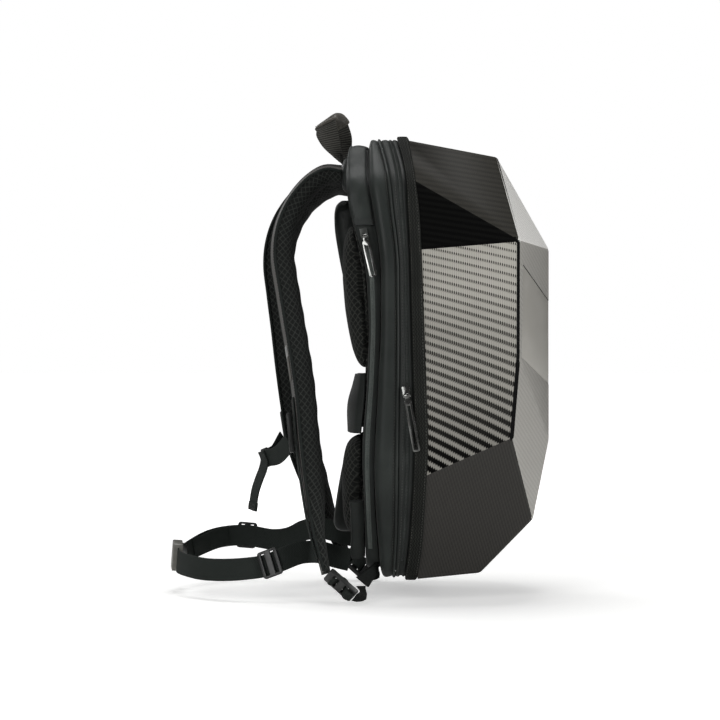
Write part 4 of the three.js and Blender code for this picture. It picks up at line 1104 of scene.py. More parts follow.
    def band(
        self, name: str, out: tuple, inner: tuple, s: np.ndarray, count: int, node: str, finish: Finish
    ) -> None:
        """A band right round the bag, with a smooth outer side.

        Args:
            name: the piece's name.
            out: folds of the outer side, from the back to the front.
            inner: folds of the inner side, from the front to the back.
            s: distances along the outline.
            count: rows on the outer side.
            node: the CAD node that it replaces.
            finish: its cloth.
        """
        rows = np.concatenate([blended(fold_lines(out, s), count), fold_lines(inner, s)])
        obj = crumpled(hoop(name, rows, s), *self.band_wave)
        settled(smoothed(obj, 50), finish.material(), [node])

    def trim(self, s: np.ndarray) -> None:
        """The woven trim that frames the shell, with a row of stitches at both edges.

        Args:
            s: distances along the outline.
        """
        rows = np.concatenate([blended(fold_lines(self.trim_out, s), 20), fold_lines(self.trim_in, s)])
        obj = smoothed(hoop("trim_binding", rows, s), 50)
        settled(obj, Finish.BINDING.material(), ["shell_trim"])
        for word, share in self.trim_seams.items():
            self.stitches(f"trim_stitches_{word}", Fold(-1.3, "trim_rear", "trim_front", share))
        self.stitches("gusset_stitches", Fold(2.9, "groove", "piping", 0.86))
        self.stitches("zip_band_stitches", Fold(2.2, "piping", "trim_rear", 0.34))

    def stitches(self, name: str, fold: Fold) -> None:
        """A row of stitches along a fold, right round the bag.

        Args:
            name: the piece's name.
            fold: the line that they follow.
        """
        count = int(OUTLINE.length / self.stitch_pitch)
        s = (np.arange(count) + 0.5) * OUTLINE.length / count
        self.row(name, bead(*OUTLINE_STITCH), fold, s, Finish.THREAD, "webbing")

    def row(self, name: str, unit: Object, fold: Fold, s: np.ndarray, finish: Finish, slot: str) -> None:
        """One small shape, repeated along a fold.

        Args:
            name: the piece's name.
            unit: the shape at the origin.
            fold: the line that it follows.
            s: distances along the outline, one for each copy.
            finish: its material.
            slot: not used.
        """
        at = fold_line(fold, s)
        along = fold_line(fold, np.minimum(s + MM, OUTLINE.length)) - fold_line(fold, np.maximum(s - MM, 0))
        spot = OUTLINE.at(s)
        out = np.stack([spot[:, 2], np.zeros(len(s)), spot[:, 3]], axis=1)
        settled(repeated(name, unit, at, along, out), finish.material())

    def welt(
        self, name: str, middle: Fold, s: np.ndarray, radius: float, finish: Finish, nodes: Sequence = ()
    ) -> None:
        """A round cord sewn in along a fold.

        Args:
            name: the piece's name.
            middle: the fold that the cord's middle follows.
            s: distances along the outline.
            radius: the cord's radius, in millimetres.
            finish: its cloth.
            nodes: the CAD nodes that it replaces.
        """
        rows = []
        for k in range(self.welt_rows):
            angle = k / self.welt_rows * math.tau
            inset = middle.inset - math.cos(angle) * radius
            rows.append(fold_line(replace(middle, inset=inset, shift=math.sin(angle) * radius), s))
        settled(smoothed(hoop(name, np.array(rows), s), 180), finish.material(), nodes)

    def hood(self) -> None:
        """The cloth hood over the laptop compartment's top, with a hem at each side."""
        low = OUTLINE.height_at(self.hood_hem * HALF_HEIGHT)
        count, across = self.hood_size
        s = np.linspace(low, OUTLINE.length - low, count)
        rows = np.concatenate([blended(fold_lines(self.hood_out, s), across), fold_lines(self.hood_in, s)])
        obj = hoop("hood_cloth", rows, s)
        for wave in self.hood_waves:
            crumpled(obj, *wave)
        settled(smoothed(obj, 60), Finish.GUSSET.material(), ["top_hood"])
        self.welt("hood_seam", self.hood_seam, s, self.hood_seam_radius, Finish.BODY)
        count, across = self.hem_size
        for word, start in (("left", low), ("right", OUTLINE.length - low - self.hem_wide)):
            span = np.linspace(start, start + self.hem_wide, count)
            outer = [replace(f, inset=f.inset - self.hem_lift) for f in self.hood_out[1:6]]
            inner = [replace(f, inset=f.inset + self.hem_sink) for f in reversed(outer)]
            rows = np.concatenate([blended(fold_lines(side, span), across) for side in (outer, inner)])
            hem = smoothed(hoop(f"hood_hem_{word}", rows, span), 50)
            settled(hem, Finish.BODY.material())

    def zippers(self) -> None:
        """Zipper tapes with their teeth, on both sides of the back and over the front seam."""
        foot, top = (OUTLINE.height_at(share * HALF_HEIGHT) for share in self.rear_zipper)
        front = OUTLINE.height_at(self.front_zipper * HALF_HEIGHT)
        whole = OUTLINE.length
        rear = (Finish.REAR_TAPE, Finish.REAR_COIL)
        self.zipper("rear_zipper_left", (foot, top), self.rear_tape, *rear)
        self.zipper("rear_zipper_right", (whole - top, whole - foot), self.rear_tape, *rear)
        self.zipper("front_zipper", (front, whole - front), self.front_tape, Finish.TAPE, Finish.COIL)

    def zipper(
        self, node: str, span: tuple[float, float], middle: Fold, weave: Finish, coil: Finish
    ) -> None:
        """One zipper: its tape and the teeth on it.

        Args:
            node: the CAD node that it replaces.
            span: where it starts and ends along the outline.
            middle: the line that it follows.
            weave: the tape's finish.
            coil: the teeth's finish.
        """
        start, end = span
        s = np.linspace(start, end, int((end - start) / self.tape_step))
        folds = [replace(middle, inset=middle.inset - rise, shift=shift) for rise, shift in self.tape_section]
        tape = hoop(f"{node}_tape", fold_lines(folds, s), s)
        settled(smoothed(tape, 40), weave.material(), [node])
        count = int((end - start) / self.tooth_pitch)
        s = start + (np.arange(count) + 0.5) * (end - start) / count
        raised = replace(middle, inset=middle.inset - self.tooth_lift)
        self.row(f"{node}_teeth", bead(*self.tooth), raised, s, coil, "zipper_tape")


# Shell and display
@dataclass
class Shell:
    """The faceted carbon shell: rounded ridges, and a weave that runs its own way on each facet and carries
    that facet's painted reflection and shade.
    """

    corners: dict = field(default_factory=lambda: {
        "crown": (0.6, 0.343, 0.982), "brow": (0.275, 0.748, 0.927), "temple": (0.845, 0.858, 0.527),
        "shoulder": (0.9, 0.368, 0.79), "flank_top": (0.981, 0.403, 0.489),
        "flank_foot": (0.981, 0.431, -0.502), "cheek": (0.862, 0.825, -0.342), "jaw": (0.507, 0.923, -0.715),
        "chin": (0.47, 0.669, -0.961), "heel": (0.637, 0.374, -0.98), "face_top": (0.365, 1.0, 0.502),
        "face_foot": (0.365, 1.0, -0.364),
    })
    # Each facet gets its own twill copy, with that facet's painted reflection and painted shade.
    facets: tuple = (
        ("crown", "shoulder", "temple", Finish.CROWN), ("shoulder", "temple", "flank_top", Finish.WEDGE),
        ("flank_top", "temple", "cheek", Finish.FLANK), ("brow", "face_top", "temple", Finish.BROW),
        ("temple", "face_top", "face_foot", Finish.FRONT), ("flank_foot", "cheek", "jaw", Finish.JAW),
        ("cheek", "face_foot", "jaw", Finish.FRONT),
    )
    middle: tuple = (
        ("crown", "brow", Finish.CROWN), ("brow", "face_top", Finish.BROW),
        ("face_top", "face_foot", Finish.FRONT), ("face_foot", "jaw", Finish.FRONT),
        ("jaw", "chin", Finish.JAW), ("chin", "heel", Finish.JAW),
    )
    ridge: float = 3 * MM
    ridge_steps: int = 4
    ridge_reach: tuple = (4 * MM, 3 * MM)
    facet_match: tuple = (0.9995, 0.2 * MM)
    screen_from: float = 0.99

    def corner(self, name: str, side: int) -> Vector:
        """A corner's place, in metres."""
        x, y, z = self.corners[name]
        return Vector((side * x * HALF_WIDTH, -y * REACH, z * HALF_HEIGHT))

    def planes(self) -> list[tuple[Vector, Vector, Finish]]:
        """Each facet's outward direction, a point on it and its finish.

        Returns:
            One row for each facet.
        """
        triples = [
            (self.corner(a, side), self.corner(b, side), self.corner(c, side), finish)
            for side in (-1, 1)
            for a, b, c, finish in self.facets
        ]
        for a, b, finish in self.middle:
            mirrored = self.corner(b if a == "crown" else a, 1)
            triples.append((self.corner(a, -1), self.corner(b, -1), mirrored, finish))
        inside = Vector((0, -REACH * 0.45, 0))
        found = []
        for a, b, c, finish in triples:
            normal = (b - a).cross(c - a).normalized()
            if normal.dot(a - inside) < 0:
                normal.negate()
            found.append((normal, a, finish))
        return found

    def build(self) -> None:
        """Rounds the ridges, lays out the weave and dresses the display."""
        obj = copied("shell", "carbon_shell")
        planes = self.planes()
        self.round_ridges(obj, planes)
        self.lay_weave(obj, planes)
        settled(smoothed(obj, 25), Finish.FLANK.material(), ["shell"])
        for name in ("left", "right"):
            self.plate(f"display_wing_{name}", Finish.PANEL, "smooth_panel")
        self.plate("led_screen", Finish.GLASS, "display_glass")

    def round_ridges(self, obj: Object, planes: list[tuple[Vector, Vector, Finish]]) -> None:
        """Bevels the edges where two outer facets meet.

        Args:
            obj: the shell.
            planes: its facets.
        """
        def facet_of(polygon: bpy.types.MeshPolygon) -> int:
            """The facet that a face lies on, or -1 inside the shell.

            Args:
                polygon: the face.

            Returns:
                The facet's number.
            """
            aligned, near = self.facet_match
            for i, (normal, point, _) in enumerate(planes):
                off = abs((polygon.center - point).dot(normal))
                if normal.dot(polygon.normal) > aligned and off < near:
                    return i
            return -1

        facets = [facet_of(p) for p in obj.data.polygons]
        by_edge: dict[tuple[int, int], set[int]] = {}
        for polygon, facet in zip(obj.data.polygons, facets):
            for key in polygon.edge_keys:
                by_edge.setdefault(key, set()).add(facet)
        with editing(obj):
            bpy.ops.mesh.select_mode(type="EDGE")
            bpy.ops.mesh.select_all(action="DESELECT")
            bpy.ops.object.mode_set(mode="OBJECT")
            for edge in obj.data.edges:
                touching = by_edge.get(tuple(edge.key), set())
                ends = [obj.data.vertices[v].co for v in edge.vertices]
                front = max(p.y for p in ends) < -REACH * self.screen_from
                beside_screen = front and abs(ends[0].x - ends[1].x) < MM
                edge.select = len(touching) == 2 and -1 not in touching and not beside_screen
            bpy.ops.object.mode_set(mode="EDIT")
            bpy.ops.mesh.bevel(
                offset=self.ridge, segments=self.ridge_steps, profile=0.5, clamp_overlap=False
            )

    def lay_weave(self, obj: Object, planes: list[tuple[Vector, Vector, Finish]]) -> None:
        """Gives each face its facet's twill, painted with that facet's reflection and shade, and a flat UV
        map in metres, up the facet and to the front.

        Args:
            obj: the shell.
            planes: its facets.
        """
        mesh = obj.data
        finishes = [*dict.fromkeys(f for _, _, f in planes), Finish.RIDGE, Finish.LINING]
        for finish in finishes:
            mesh.materials.append(finish.material())
        layer = mesh.uv_layers[0] if mesh.uv_layers else mesh.uv_layers.new(name="weave")
        for polygon in mesh.polygons:
            off = [abs((polygon.center - point).dot(normal)) for normal, point, _ in planes]
            turned = [normal.dot(polygon.normal) for normal, _, _ in planes]
            scores = [d * 8 + (1 - t) for d, t in zip(off, turned)]
            best = int(np.argmin(scores))
            normal, point, finish = planes[best]
            if turned[best] < 0.6 or off[best] > 1.2 * MM:
                finish = Finish.LINING
            elif turned[best] < 0.9992:
                finish = Finish.RIDGE if self.black_ridge(polygon.center) else finish
            polygon.material_index = finishes.index(finish)
            up = Vector((0, 0, 1)) if abs(normal.z) < 0.9 else Vector((0, 1, 0))
            v = (up - normal * up.dot(normal)).normalized()
            u = v.cross(normal)
            if u.y > 0:
                u.negate()
            foot = self.corners["flank_foot"][2] * HALF_HEIGHT
            for loop in polygon.loop_indices:
                place = mesh.vertices[mesh.loops[loop].vertex_index].co
                layer.data[loop].uv = ((place - point).dot(u), place.z - foot if v.z > 0.5 else place.dot(v))

    def black_ridge(self, place: Vector) -> bool:
        """Whether a place is on the dark ridge between the side and the display.

        Args:
            place: A place on the shell, in metres.

        Returns:
            True on the ridge.
        """
        top, foot = self.corner("temple", 1), self.corner("cheek", 1)
        aside, beyond = self.ridge_reach
        return foot.z - beyond < place.z < top.z + beyond and abs(place.x) > foot.x - aside

    def plate(self, node: str, finish: Finish, slot: str) -> None:
        """A display plate with eased edges.

        Args:
            node: the CAD node.
            finish: its material.
            slot: not used.
        """
        obj = copied(node, f"{node}_plate")
        worked(obj, "BEVEL", width=0.35 * MM, segments=2, limit_method="ANGLE")
        settled(smoothed(obj, 30), finish.material(), [node])


# Back panel
@dataclass
class BackPanel:
    """The board and its mesh pads, the centre pads, the yoke and the trolley sleeve."""

    pads: tuple = (
        ("upper_pad_left", Finish.MESH, "spacer_mesh", 4 * MM, 4 * MM),
        ("upper_pad_right", Finish.MESH, "spacer_mesh", 4 * MM, 4 * MM),
        ("lower_pad_left", Finish.MESH, "spacer_mesh", 4 * MM, 4 * MM),
        ("lower_pad_right", Finish.MESH, "spacer_mesh", 4 * MM, 4 * MM),
        ("spine_pad", Finish.GUSSET, "coated_fabric", 3 * MM, 2 * MM),
        ("lumbar_pad", Finish.GUSSET, "coated_fabric", 3 * MM, 2 * MM),
        ("yoke_panel", Finish.BODY, "coated_fabric", 3 * MM, 1.2 * MM),
    )
    pressure: float = 3.0
    sleeve_half: float = 133
    sleeve_wave: tuple = (1.2 * MM, 40 * MM)
    sleeve_thick: float = 1.6 * MM
    sleeve_span: tuple = (-0.062, -0.325)
    sleeve_rows: tuple = ((-0.33, -3.0), (-0.17, -4.0), (-0.12, -8.0), (-0.06, -12.0))

    def build(self) -> None:
        """Makes the board, then each pad, then the sleeve."""
        board = copied("back_panel", "back_board")
        worked(board, "BEVEL", width=0.8 * MM, segments=2, limit_method="ANGLE")
        settled(smoothed(board, 40), Finish.MESH.material(), ["back_panel"])
        for row in self.pads:
            self.pad(*row)
        self.sleeve()

    def pad(self, node: str, finish: Finish, slot: str, voxel: float, cap: float) -> None:
        """A foam pad under its cover.

        Args:
            node: the CAD node.
            finish: its cover.
            slot: not used.
            voxel: size of its faces, in metres.
            cap: how far the foam may swell.
        """
        obj = copied(node, f"{node}_foam")
        inflated(obj, voxel, self.pressure, cap)
        settled(obj, finish.material(), [node])

    def sleeve(self) -> None:
        """The cloth band that slips over a trolley's handle, bound at its two long edges."""
        columns, down = 61, 19
        x = np.linspace(-self.sleeve_half, self.sleeve_half, columns) * MM
        z = np.linspace(*self.sleeve_span, down) * HALF_HEIGHT
        wall = LINES.line("rear", z) + 3.2 * MM
        front = eased(*zip(*self.sleeve_rows), z / HALF_HEIGHT) * MM
        bulge = np.sqrt(np.maximum(0, 1 - (x / x[-1]) ** 2))
        y = wall[:, None] + (front - wall)[:, None] * bulge[None, :]
        rows = np.stack([np.broadcast_to(x, y.shape), y, np.broadcast_to(z[:, None], y.shape)], axis=-1)
        along = np.broadcast_to(x, y.shape)
        obj = skin("sleeve_cloth", rows, along, around(rows))
        worked(crumpled(obj, *self.sleeve_wave), "SOLIDIFY", thickness=self.sleeve_thick, offset=-1)
        settled(smoothed(obj, 50), Finish.BODY.material(), ["trolley_sleeve"])


# Straps and webbing on smooth routes
@dataclass
class Stations:
    """Places along a route, each with the directions along, across and out of the strap's face."""

    at: np.ndarray
    along: np.ndarray
    across: np.ndarray
    out: np.ndarray
    share: np.ndarray
    run: np.ndarray

    def part(self, start: float, end: float) -> "Stations":
        """The stations between two shares of the route."""
        kept = (self.share >= start - 1e-9) & (self.share <= end + 1e-9)
        return Stations(*(getattr(self, k)[kept] for k in ("at", "along", "across", "out", "share", "run")))

    def read(self, run: np.ndarray) -> "Stations":
        """The stations at other distances along the route, read between the known ones.

        Args:
            run: the distances.

        Returns:
            The stations there.
        """
        found = [
            np.stack([np.interp(run, self.run, known[:, i]) for i in range(3)], axis=1)
            for known in (self.at, self.along, self.across, self.out)
        ]
        return Stations(*found, np.interp(run, self.run, self.share), run)


@dataclass
class Route:
    """A smooth line through points, in millimetres, with a hint for the direction across the strap."""

    points: Sequence[tuple[float, float, float]]
    hint: Callable[[float], tuple[float, float, float]]
    twist: float = 0.0
    blur: float = 0.0
    fine: int = 30

    def line(self) -> np.ndarray:
        """The centripetal curve through the points, finely sampled, in metres.

        Returns:
            Points from end to end.
        """
        p = np.array(self.points, float)
        p = np.concatenate([[2 * p[0] - p[1]], p, [2 * p[-1] - p[-2]]])
        out = []
        for i in range(1, len(p) - 2):
            gaps = [max(np.linalg.norm(p[k + 1] - p[k]) ** 0.5, 1e-4) for k in (i - 1, i, i + 1)]
            before = (p[i] - p[i - 1]) / gaps[0] - (p[i + 1] - p[i - 1]) / (gaps[0] + gaps[1])
            after = (p[i + 1] - p[i]) / gaps[1] - (p[i + 2] - p[i]) / (gaps[1] + gaps[2])
            start = (before + (p[i + 1] - p[i]) / gaps[1]) * gaps[1]
            end = (after + (p[i + 2] - p[i + 1]) / gaps[2]) * gaps[1]
            for t in np.linspace(0, 1, self.fine, endpoint=False):
                bend = (2 * p[i] - 2 * p[i + 1] + start + end) * t ** 3
                out.append(p[i] + start * t + (3 * p[i + 1] - 3 * p[i] - 2 * start - end) * t * t + bend)
        return np.array([*out, p[-2]]) * MM

    def stations(self, count: int) -> Stations:
        """Evenly spaced stations.

        Args:
            count: how many spans the route is cut into.

        Returns:
            The stations, ends included.
        """
        line = self.line()
        known = np.concatenate([[0], np.cumsum(np.linalg.norm(np.diff(line, axis=0), axis=1))])
        share = np.linspace(0, 1, count + 1)
        run = share * known[-1]
        at = np.stack([np.interp(run, known, line[:, k]) for k in range(3)], axis=1)
        slopes = np.gradient(line, known, axis=0)
        along = np.stack([np.interp(run, known, slopes[:, k]) for k in range(3)], axis=1)
        reach = round(count * self.blur)
        wide = np.pad(along, ((reach, reach), (0, 0)), mode="edge")
        along = sum(wide[k:k + count + 1] for k in range(2 * reach + 1))
        along /= np.linalg.norm(along, axis=1, keepdims=True)
        hint = np.array([self.hint(t) for t in share])
        across = hint - along * (hint * along).sum(1, keepdims=True)
        across /= np.linalg.norm(across, axis=1, keepdims=True)
        across = across * math.cos(self.twist) + np.cross(along, across) * math.sin(self.twist)
        return Stations(at, along, across, np.cross(across, along), share, run)


def flat_section(width: float, thick: float, lift: float = 0.0, crown: float = 0.0) -> np.ndarray:
    """A strap's section: rounded edges, and a crown on its face. All in metres.

    Args:
        width: the strap's width.
        thick: its thickness.
        lift: how far its back lies out.
        crown: how far the middle of its face stands up.

    Returns:
        The section's points, as offsets across and out.
    """
    half, edge = width / 2, thick / 2
    across = np.linspace(-half + edge, half - edge, 9)
    face = np.stack([across, lift + thick + crown * (1 - (across / half) ** 2)], axis=1)
    back = np.stack([across[::-1], np.full(9, lift)], axis=1)
    right = [[half - edge + edge * math.cos(a), lift + edge + edge * math.sin(a)] for a in (0.9, 0, -0.9)]
    left = [[-x, y] for x, y in reversed(right)]
    return np.concatenate([face, right, back, left])


def swept(name: str, stations: Stations, sections: np.ndarray) -> Object:
    """Sweeps sections along stations into a closed strap.

    Args:
        name: the piece's name.
        stations: where the strap runs.
        sections: the section at each station, as offsets across and out.

    Returns:
        The strap, with its UV map in metres.
    """
    sections = np.concatenate([sections, sections[:, :1]], axis=1)
    rows = (
        stations.at[:, None, :]
        + sections[..., :1] * stations.across[:, None, :]
        + sections[..., 1:] * stations.out[:, None, :]
    )
    steps = np.linalg.norm(np.diff(sections, axis=1), axis=-1)
    u = np.concatenate([np.zeros((len(rows), 1)), np.cumsum(steps, axis=1)], axis=1)
    v = np.broadcast_to(stations.run[:, None], u.shape)
    return closed(skin(name, rows, u, v))


def strap_of(name: str, stations: Stations, width: float, thick: float, lift: float = 0.0) -> Object:
    """A plain strap of one width along stations.

    Args:
        name: the piece's name.
        stations: where the strap runs.
        width: its width, in metres.
        thick: its thickness.
        lift: how far its back lies out of the route.

    Returns:
        The strap.
    """
    section = flat_section(width, thick, lift)
    return smoothed(swept(name, stations, np.repeat(section[None], len(stations.share), axis=0)), 60)


def seam_row(name: str, stations: Stations, aside: float, lift: float, pitch: float = 3.2 * MM) -> Object:
    """A row of stitches along a strap.

    Args:
        name: the piece's name.
        stations: the strap's stations.
        aside: how far across from its middle, in metres.
        lift: how far out of its face.
        pitch: from one stitch to the next.

    Returns:
        The stitches, dressed and riding on the pack.
    """
    run = np.arange(stations.run[0] + pitch, stations.run[-1] - pitch / 2, pitch)
    spots = stations.read(run)
    at = spots.at + spots.across * aside + spots.out * lift
    obj = repeated(name, bead(*STITCH), at, spots.along, spots.out)
    return settled(obj, Finish.THREAD.material())


def box_seam(name: str, stations: Stations, width: float, lift: float) -> Object:
    """The sewn box with its cross that holds a strap's end.

    Args:
        name: the piece's name.
        stations: the sewn part of the strap.
        width: the strap's width, in metres.
        lift: how far out of its face.

    Returns:
        The stitches, dressed and riding on the pack.
    """
    margin, pitch = 2 * MM, 2.6 * MM
    first, last = stations.run[0] + margin, stations.run[-1] - margin
    half = width / 2 - margin
    corners = [(first, -half), (first, half), (last, half), (last, -half)]
    lines = [*zip(corners, corners[1:] + corners[:1]), (corners[0], corners[2]), (corners[1], corners[3])]
    places, headings = [], []
    for (r0, a0), (r1, a1) in lines:
        length = math.hypot(r1 - r0, a1 - a0)
        count = int(length / pitch)
        for t in np.arange(0.5, count) / max(1, count):
            places.append((r0 + (r1 - r0) * t, a0 + (a1 - a0) * t))
            headings.append(((r1 - r0) / length, (a1 - a0) / length))
    place, heading = np.array(places), np.array(headings)
    spots = stations.read(place[:, 0])
    at = spots.at + spots.across * place[:, 1:] + spots.out * lift
    along = spots.along * heading[:, :1] + spots.across * heading[:, 1:]
    obj = repeated(name, bead(*BOX_STITCH), at, along, spots.out)
    return settled(obj, Finish.THREAD.material())


@dataclass
class ShoulderStraps:
    """Two padded straps: a mesh pad, a cloth cover bound at its edges, and webbing sewn on it."""

    rows: tuple = (
        (0.4, 0.003, 0.876, 62, 19, 0), (0.41, 0.085, 0.882, 64, 20, 2), (0.425, 0.162, 0.846, 66, 21, 6),
        (0.44, 0.237, 0.775, 68, 22, 11), (0.46, 0.3, 0.675, 69, 23, 14), (0.475, 0.333, 0.57, 69, 23, 16),
        (0.49, 0.338, 0.46, 69, 23, 18), (0.505, 0.315, 0.32, 69, 23, 20), (0.52, 0.285, 0.155, 69, 23, 22),
        (0.54, 0.252, -0.02, 69, 23, 25), (0.565, 0.224, -0.2, 68, 22, 26), (0.6, 0.202, -0.4, 66, 23, 24),
        (0.65, 0.17, -0.6, 62, 22, 15), (0.73, 0.13, -0.78, 52, 17, 6), (0.79, 0.088, -0.905, 40, 11, 0),
        (0.8, 0.076, -0.945, 34, 7, 0),
    )
    twist: float = 0.16
    blur: float = 0.04
    steps: int = 132
    cover_thick: float = 1.8 * MM
    overhang: float = 1.2 * MM
    cover_crown: float = 0.2 * MM
    wave: tuple = (0.5 * MM, 22 * MM)
    swell: tuple = (0.015, 26 * MM)
    binding: tuple = (2.0, 1.7)
    seam_inset: float = 4.5 * MM
    seam_span: tuple = (0.02, 0.8)
    seam_lift: float = 0.1 * MM
    daisy: tuple = (0.6, 0.97)
    daisy_width: float = 25 * MM
    daisy_thick: float = 1.6 * MM
    daisy_lift: float = 1.2 * MM
    box_share: float = 0.045
    box_lift: float = 2.4 * MM
    tabs: tuple = (
        ("reflective_tab", 0.49, 0.515, Finish.REFLECTIVE), ("strap_tab", 0.515, 0.565, Finish.GRIP),
    )
    tab_margin: float = 4 * MM
    tab_thick: float = 0.9 * MM
    tab_lift: float = 0.1 * MM

    def stations(self, side: int, steps: int = 0) -> Stations:
        """A strap's stations, on the wearer's left (-1) or right (1).

        Args:
            side: -1 on the wearer's left, 1 on the right.
            steps: how many spans, or 0 for the usual.

        Returns:
            The stations, from the top.
        """
        points = [
            (side * x * HALF_WIDTH / MM, y * REACH / MM + (shift if side > 0 else 0), z * HALF_HEIGHT / MM)
            for x, y, z, _, _, shift in self.rows
        ]
        return Route(points, lambda t: (1, 0, 0), side * self.twist, self.blur).stations(steps or self.steps)

    def value(self, column: int, share: np.ndarray) -> np.ndarray:
        """The width (3) or the thickness (4) along a strap, in metres."""
        return eased(range(len(self.rows)), [r[column] for r in self.rows], share * (len(self.rows) - 1)) * MM

    def build(self) -> None:
        """Makes both straps."""
        for word, side in SIDES.items():
            stations = self.stations(side)
            self.pad(word, stations)
            self.cover(word, stations)
            self.webbing(word, stations)

    def pad(self, word: str, stations: Stations) -> None:
        """The mesh pad: full in the middle, pinched where it is bound to the cover.

        Args:
            word: "left" or "right".
            stations: the strap's stations.
        """
        angle = np.linspace(0, math.pi, 17)
        across = np.cos(angle)
        deep = np.sin(angle) ** 0.62
        half = self.value(3, stations.share)[:, None] / 2
        thick = self.value(4, stations.share)[:, None]
        height, length = self.swell
        swell = 1 + height * np.sin(stations.run / length * math.tau)[:, None]
        face = -self.cover_thick - GAP
        under = np.stack([across * half, face - deep * thick * swell], axis=-1)
        over = np.stack([np.linspace(-0.92, 0.92, 9) * half, np.full((len(half), 9), face)], axis=-1)
        sections = np.concatenate([under, over], axis=1)
        obj = smoothed(crumpled(swept(f"strap_foam_{word}", stations, sections), *self.wave), 60)
        settled(obj, Finish.STRAP_MESH.material(), [f"strap_pad_{word}"])

    def cover(self, word: str, stations: Stations) -> None:
        """The cloth cover with its bindings, stitches and small tabs.

        Args:
            word: "left" or "right".
            stations: the strap's stations.
        """
        width = self.value(3, stations.share) + 2 * self.overhang
        thick = self.cover_thick * 0.8
        sections = np.array([flat_section(w, thick, -self.cover_thick, self.cover_crown) for w in width])
        obj = smoothed(swept(f"strap_cloth_{word}", stations, sections), 60)
        settled(obj, Finish.COVER.material(), [f"strap_cover_{word}"])
        ring = np.array([[math.cos(a), math.sin(a)] for a in np.linspace(0, math.tau, 10, endpoint=False)])
        for edge, sign in (("inner", -1), ("outer", 1)):
            middle = np.stack([sign * width / 2, np.full(len(width), -self.cover_thick * 0.75)], axis=1)
            bound = middle[:, None, :] + ring[None] * np.array(self.binding) * MM
            tape = smoothed(swept(f"strap_binding_{edge}_{word}", stations, bound), 180)
            settled(tape, Finish.EDGING.material())
        for sign, edge in ((-1, "inner"), (1, "outer")):
            aside = sign * float(width.mean() / 2 - self.seam_inset)
            seam_row(f"strap_stitches_{edge}_{word}", stations.part(*self.seam_span), aside, self.seam_lift)
        fine = self.stations(SIDES[word], 400)
        wide = self.daisy_width + self.tab_margin
        for name, start, end, finish in self.tabs:
            tab = strap_of(f"{name}_{word}", fine.part(start, end), wide, self.tab_thick, self.tab_lift)
            settled(tab, finish.material())

    def webbing(self, word: str, stations: Stations) -> None:
        """The webbing sewn on the cover: it stands off between its stitched ends.

        Args:
            word: "left" or "right".
            stations: the strap's stations.
        """
        start, end = self.daisy
        part = stations.part(start, end)
        lift = GAP + self.daisy_lift * np.sin(math.pi * (part.share - start) / (end - start))
        sections = np.array([flat_section(self.daisy_width, self.daisy_thick, h) for h in lift])
        obj = smoothed(swept(f"daisy_webbing_{word}", part, sections), 60)
        settled(obj, Finish.WEB.material(), [f"strap_webbing_{word}"])
        foot = stations.part(start, start + self.box_share)
        box_seam(f"daisy_box_{word}", foot, self.daisy_width, self.box_lift)


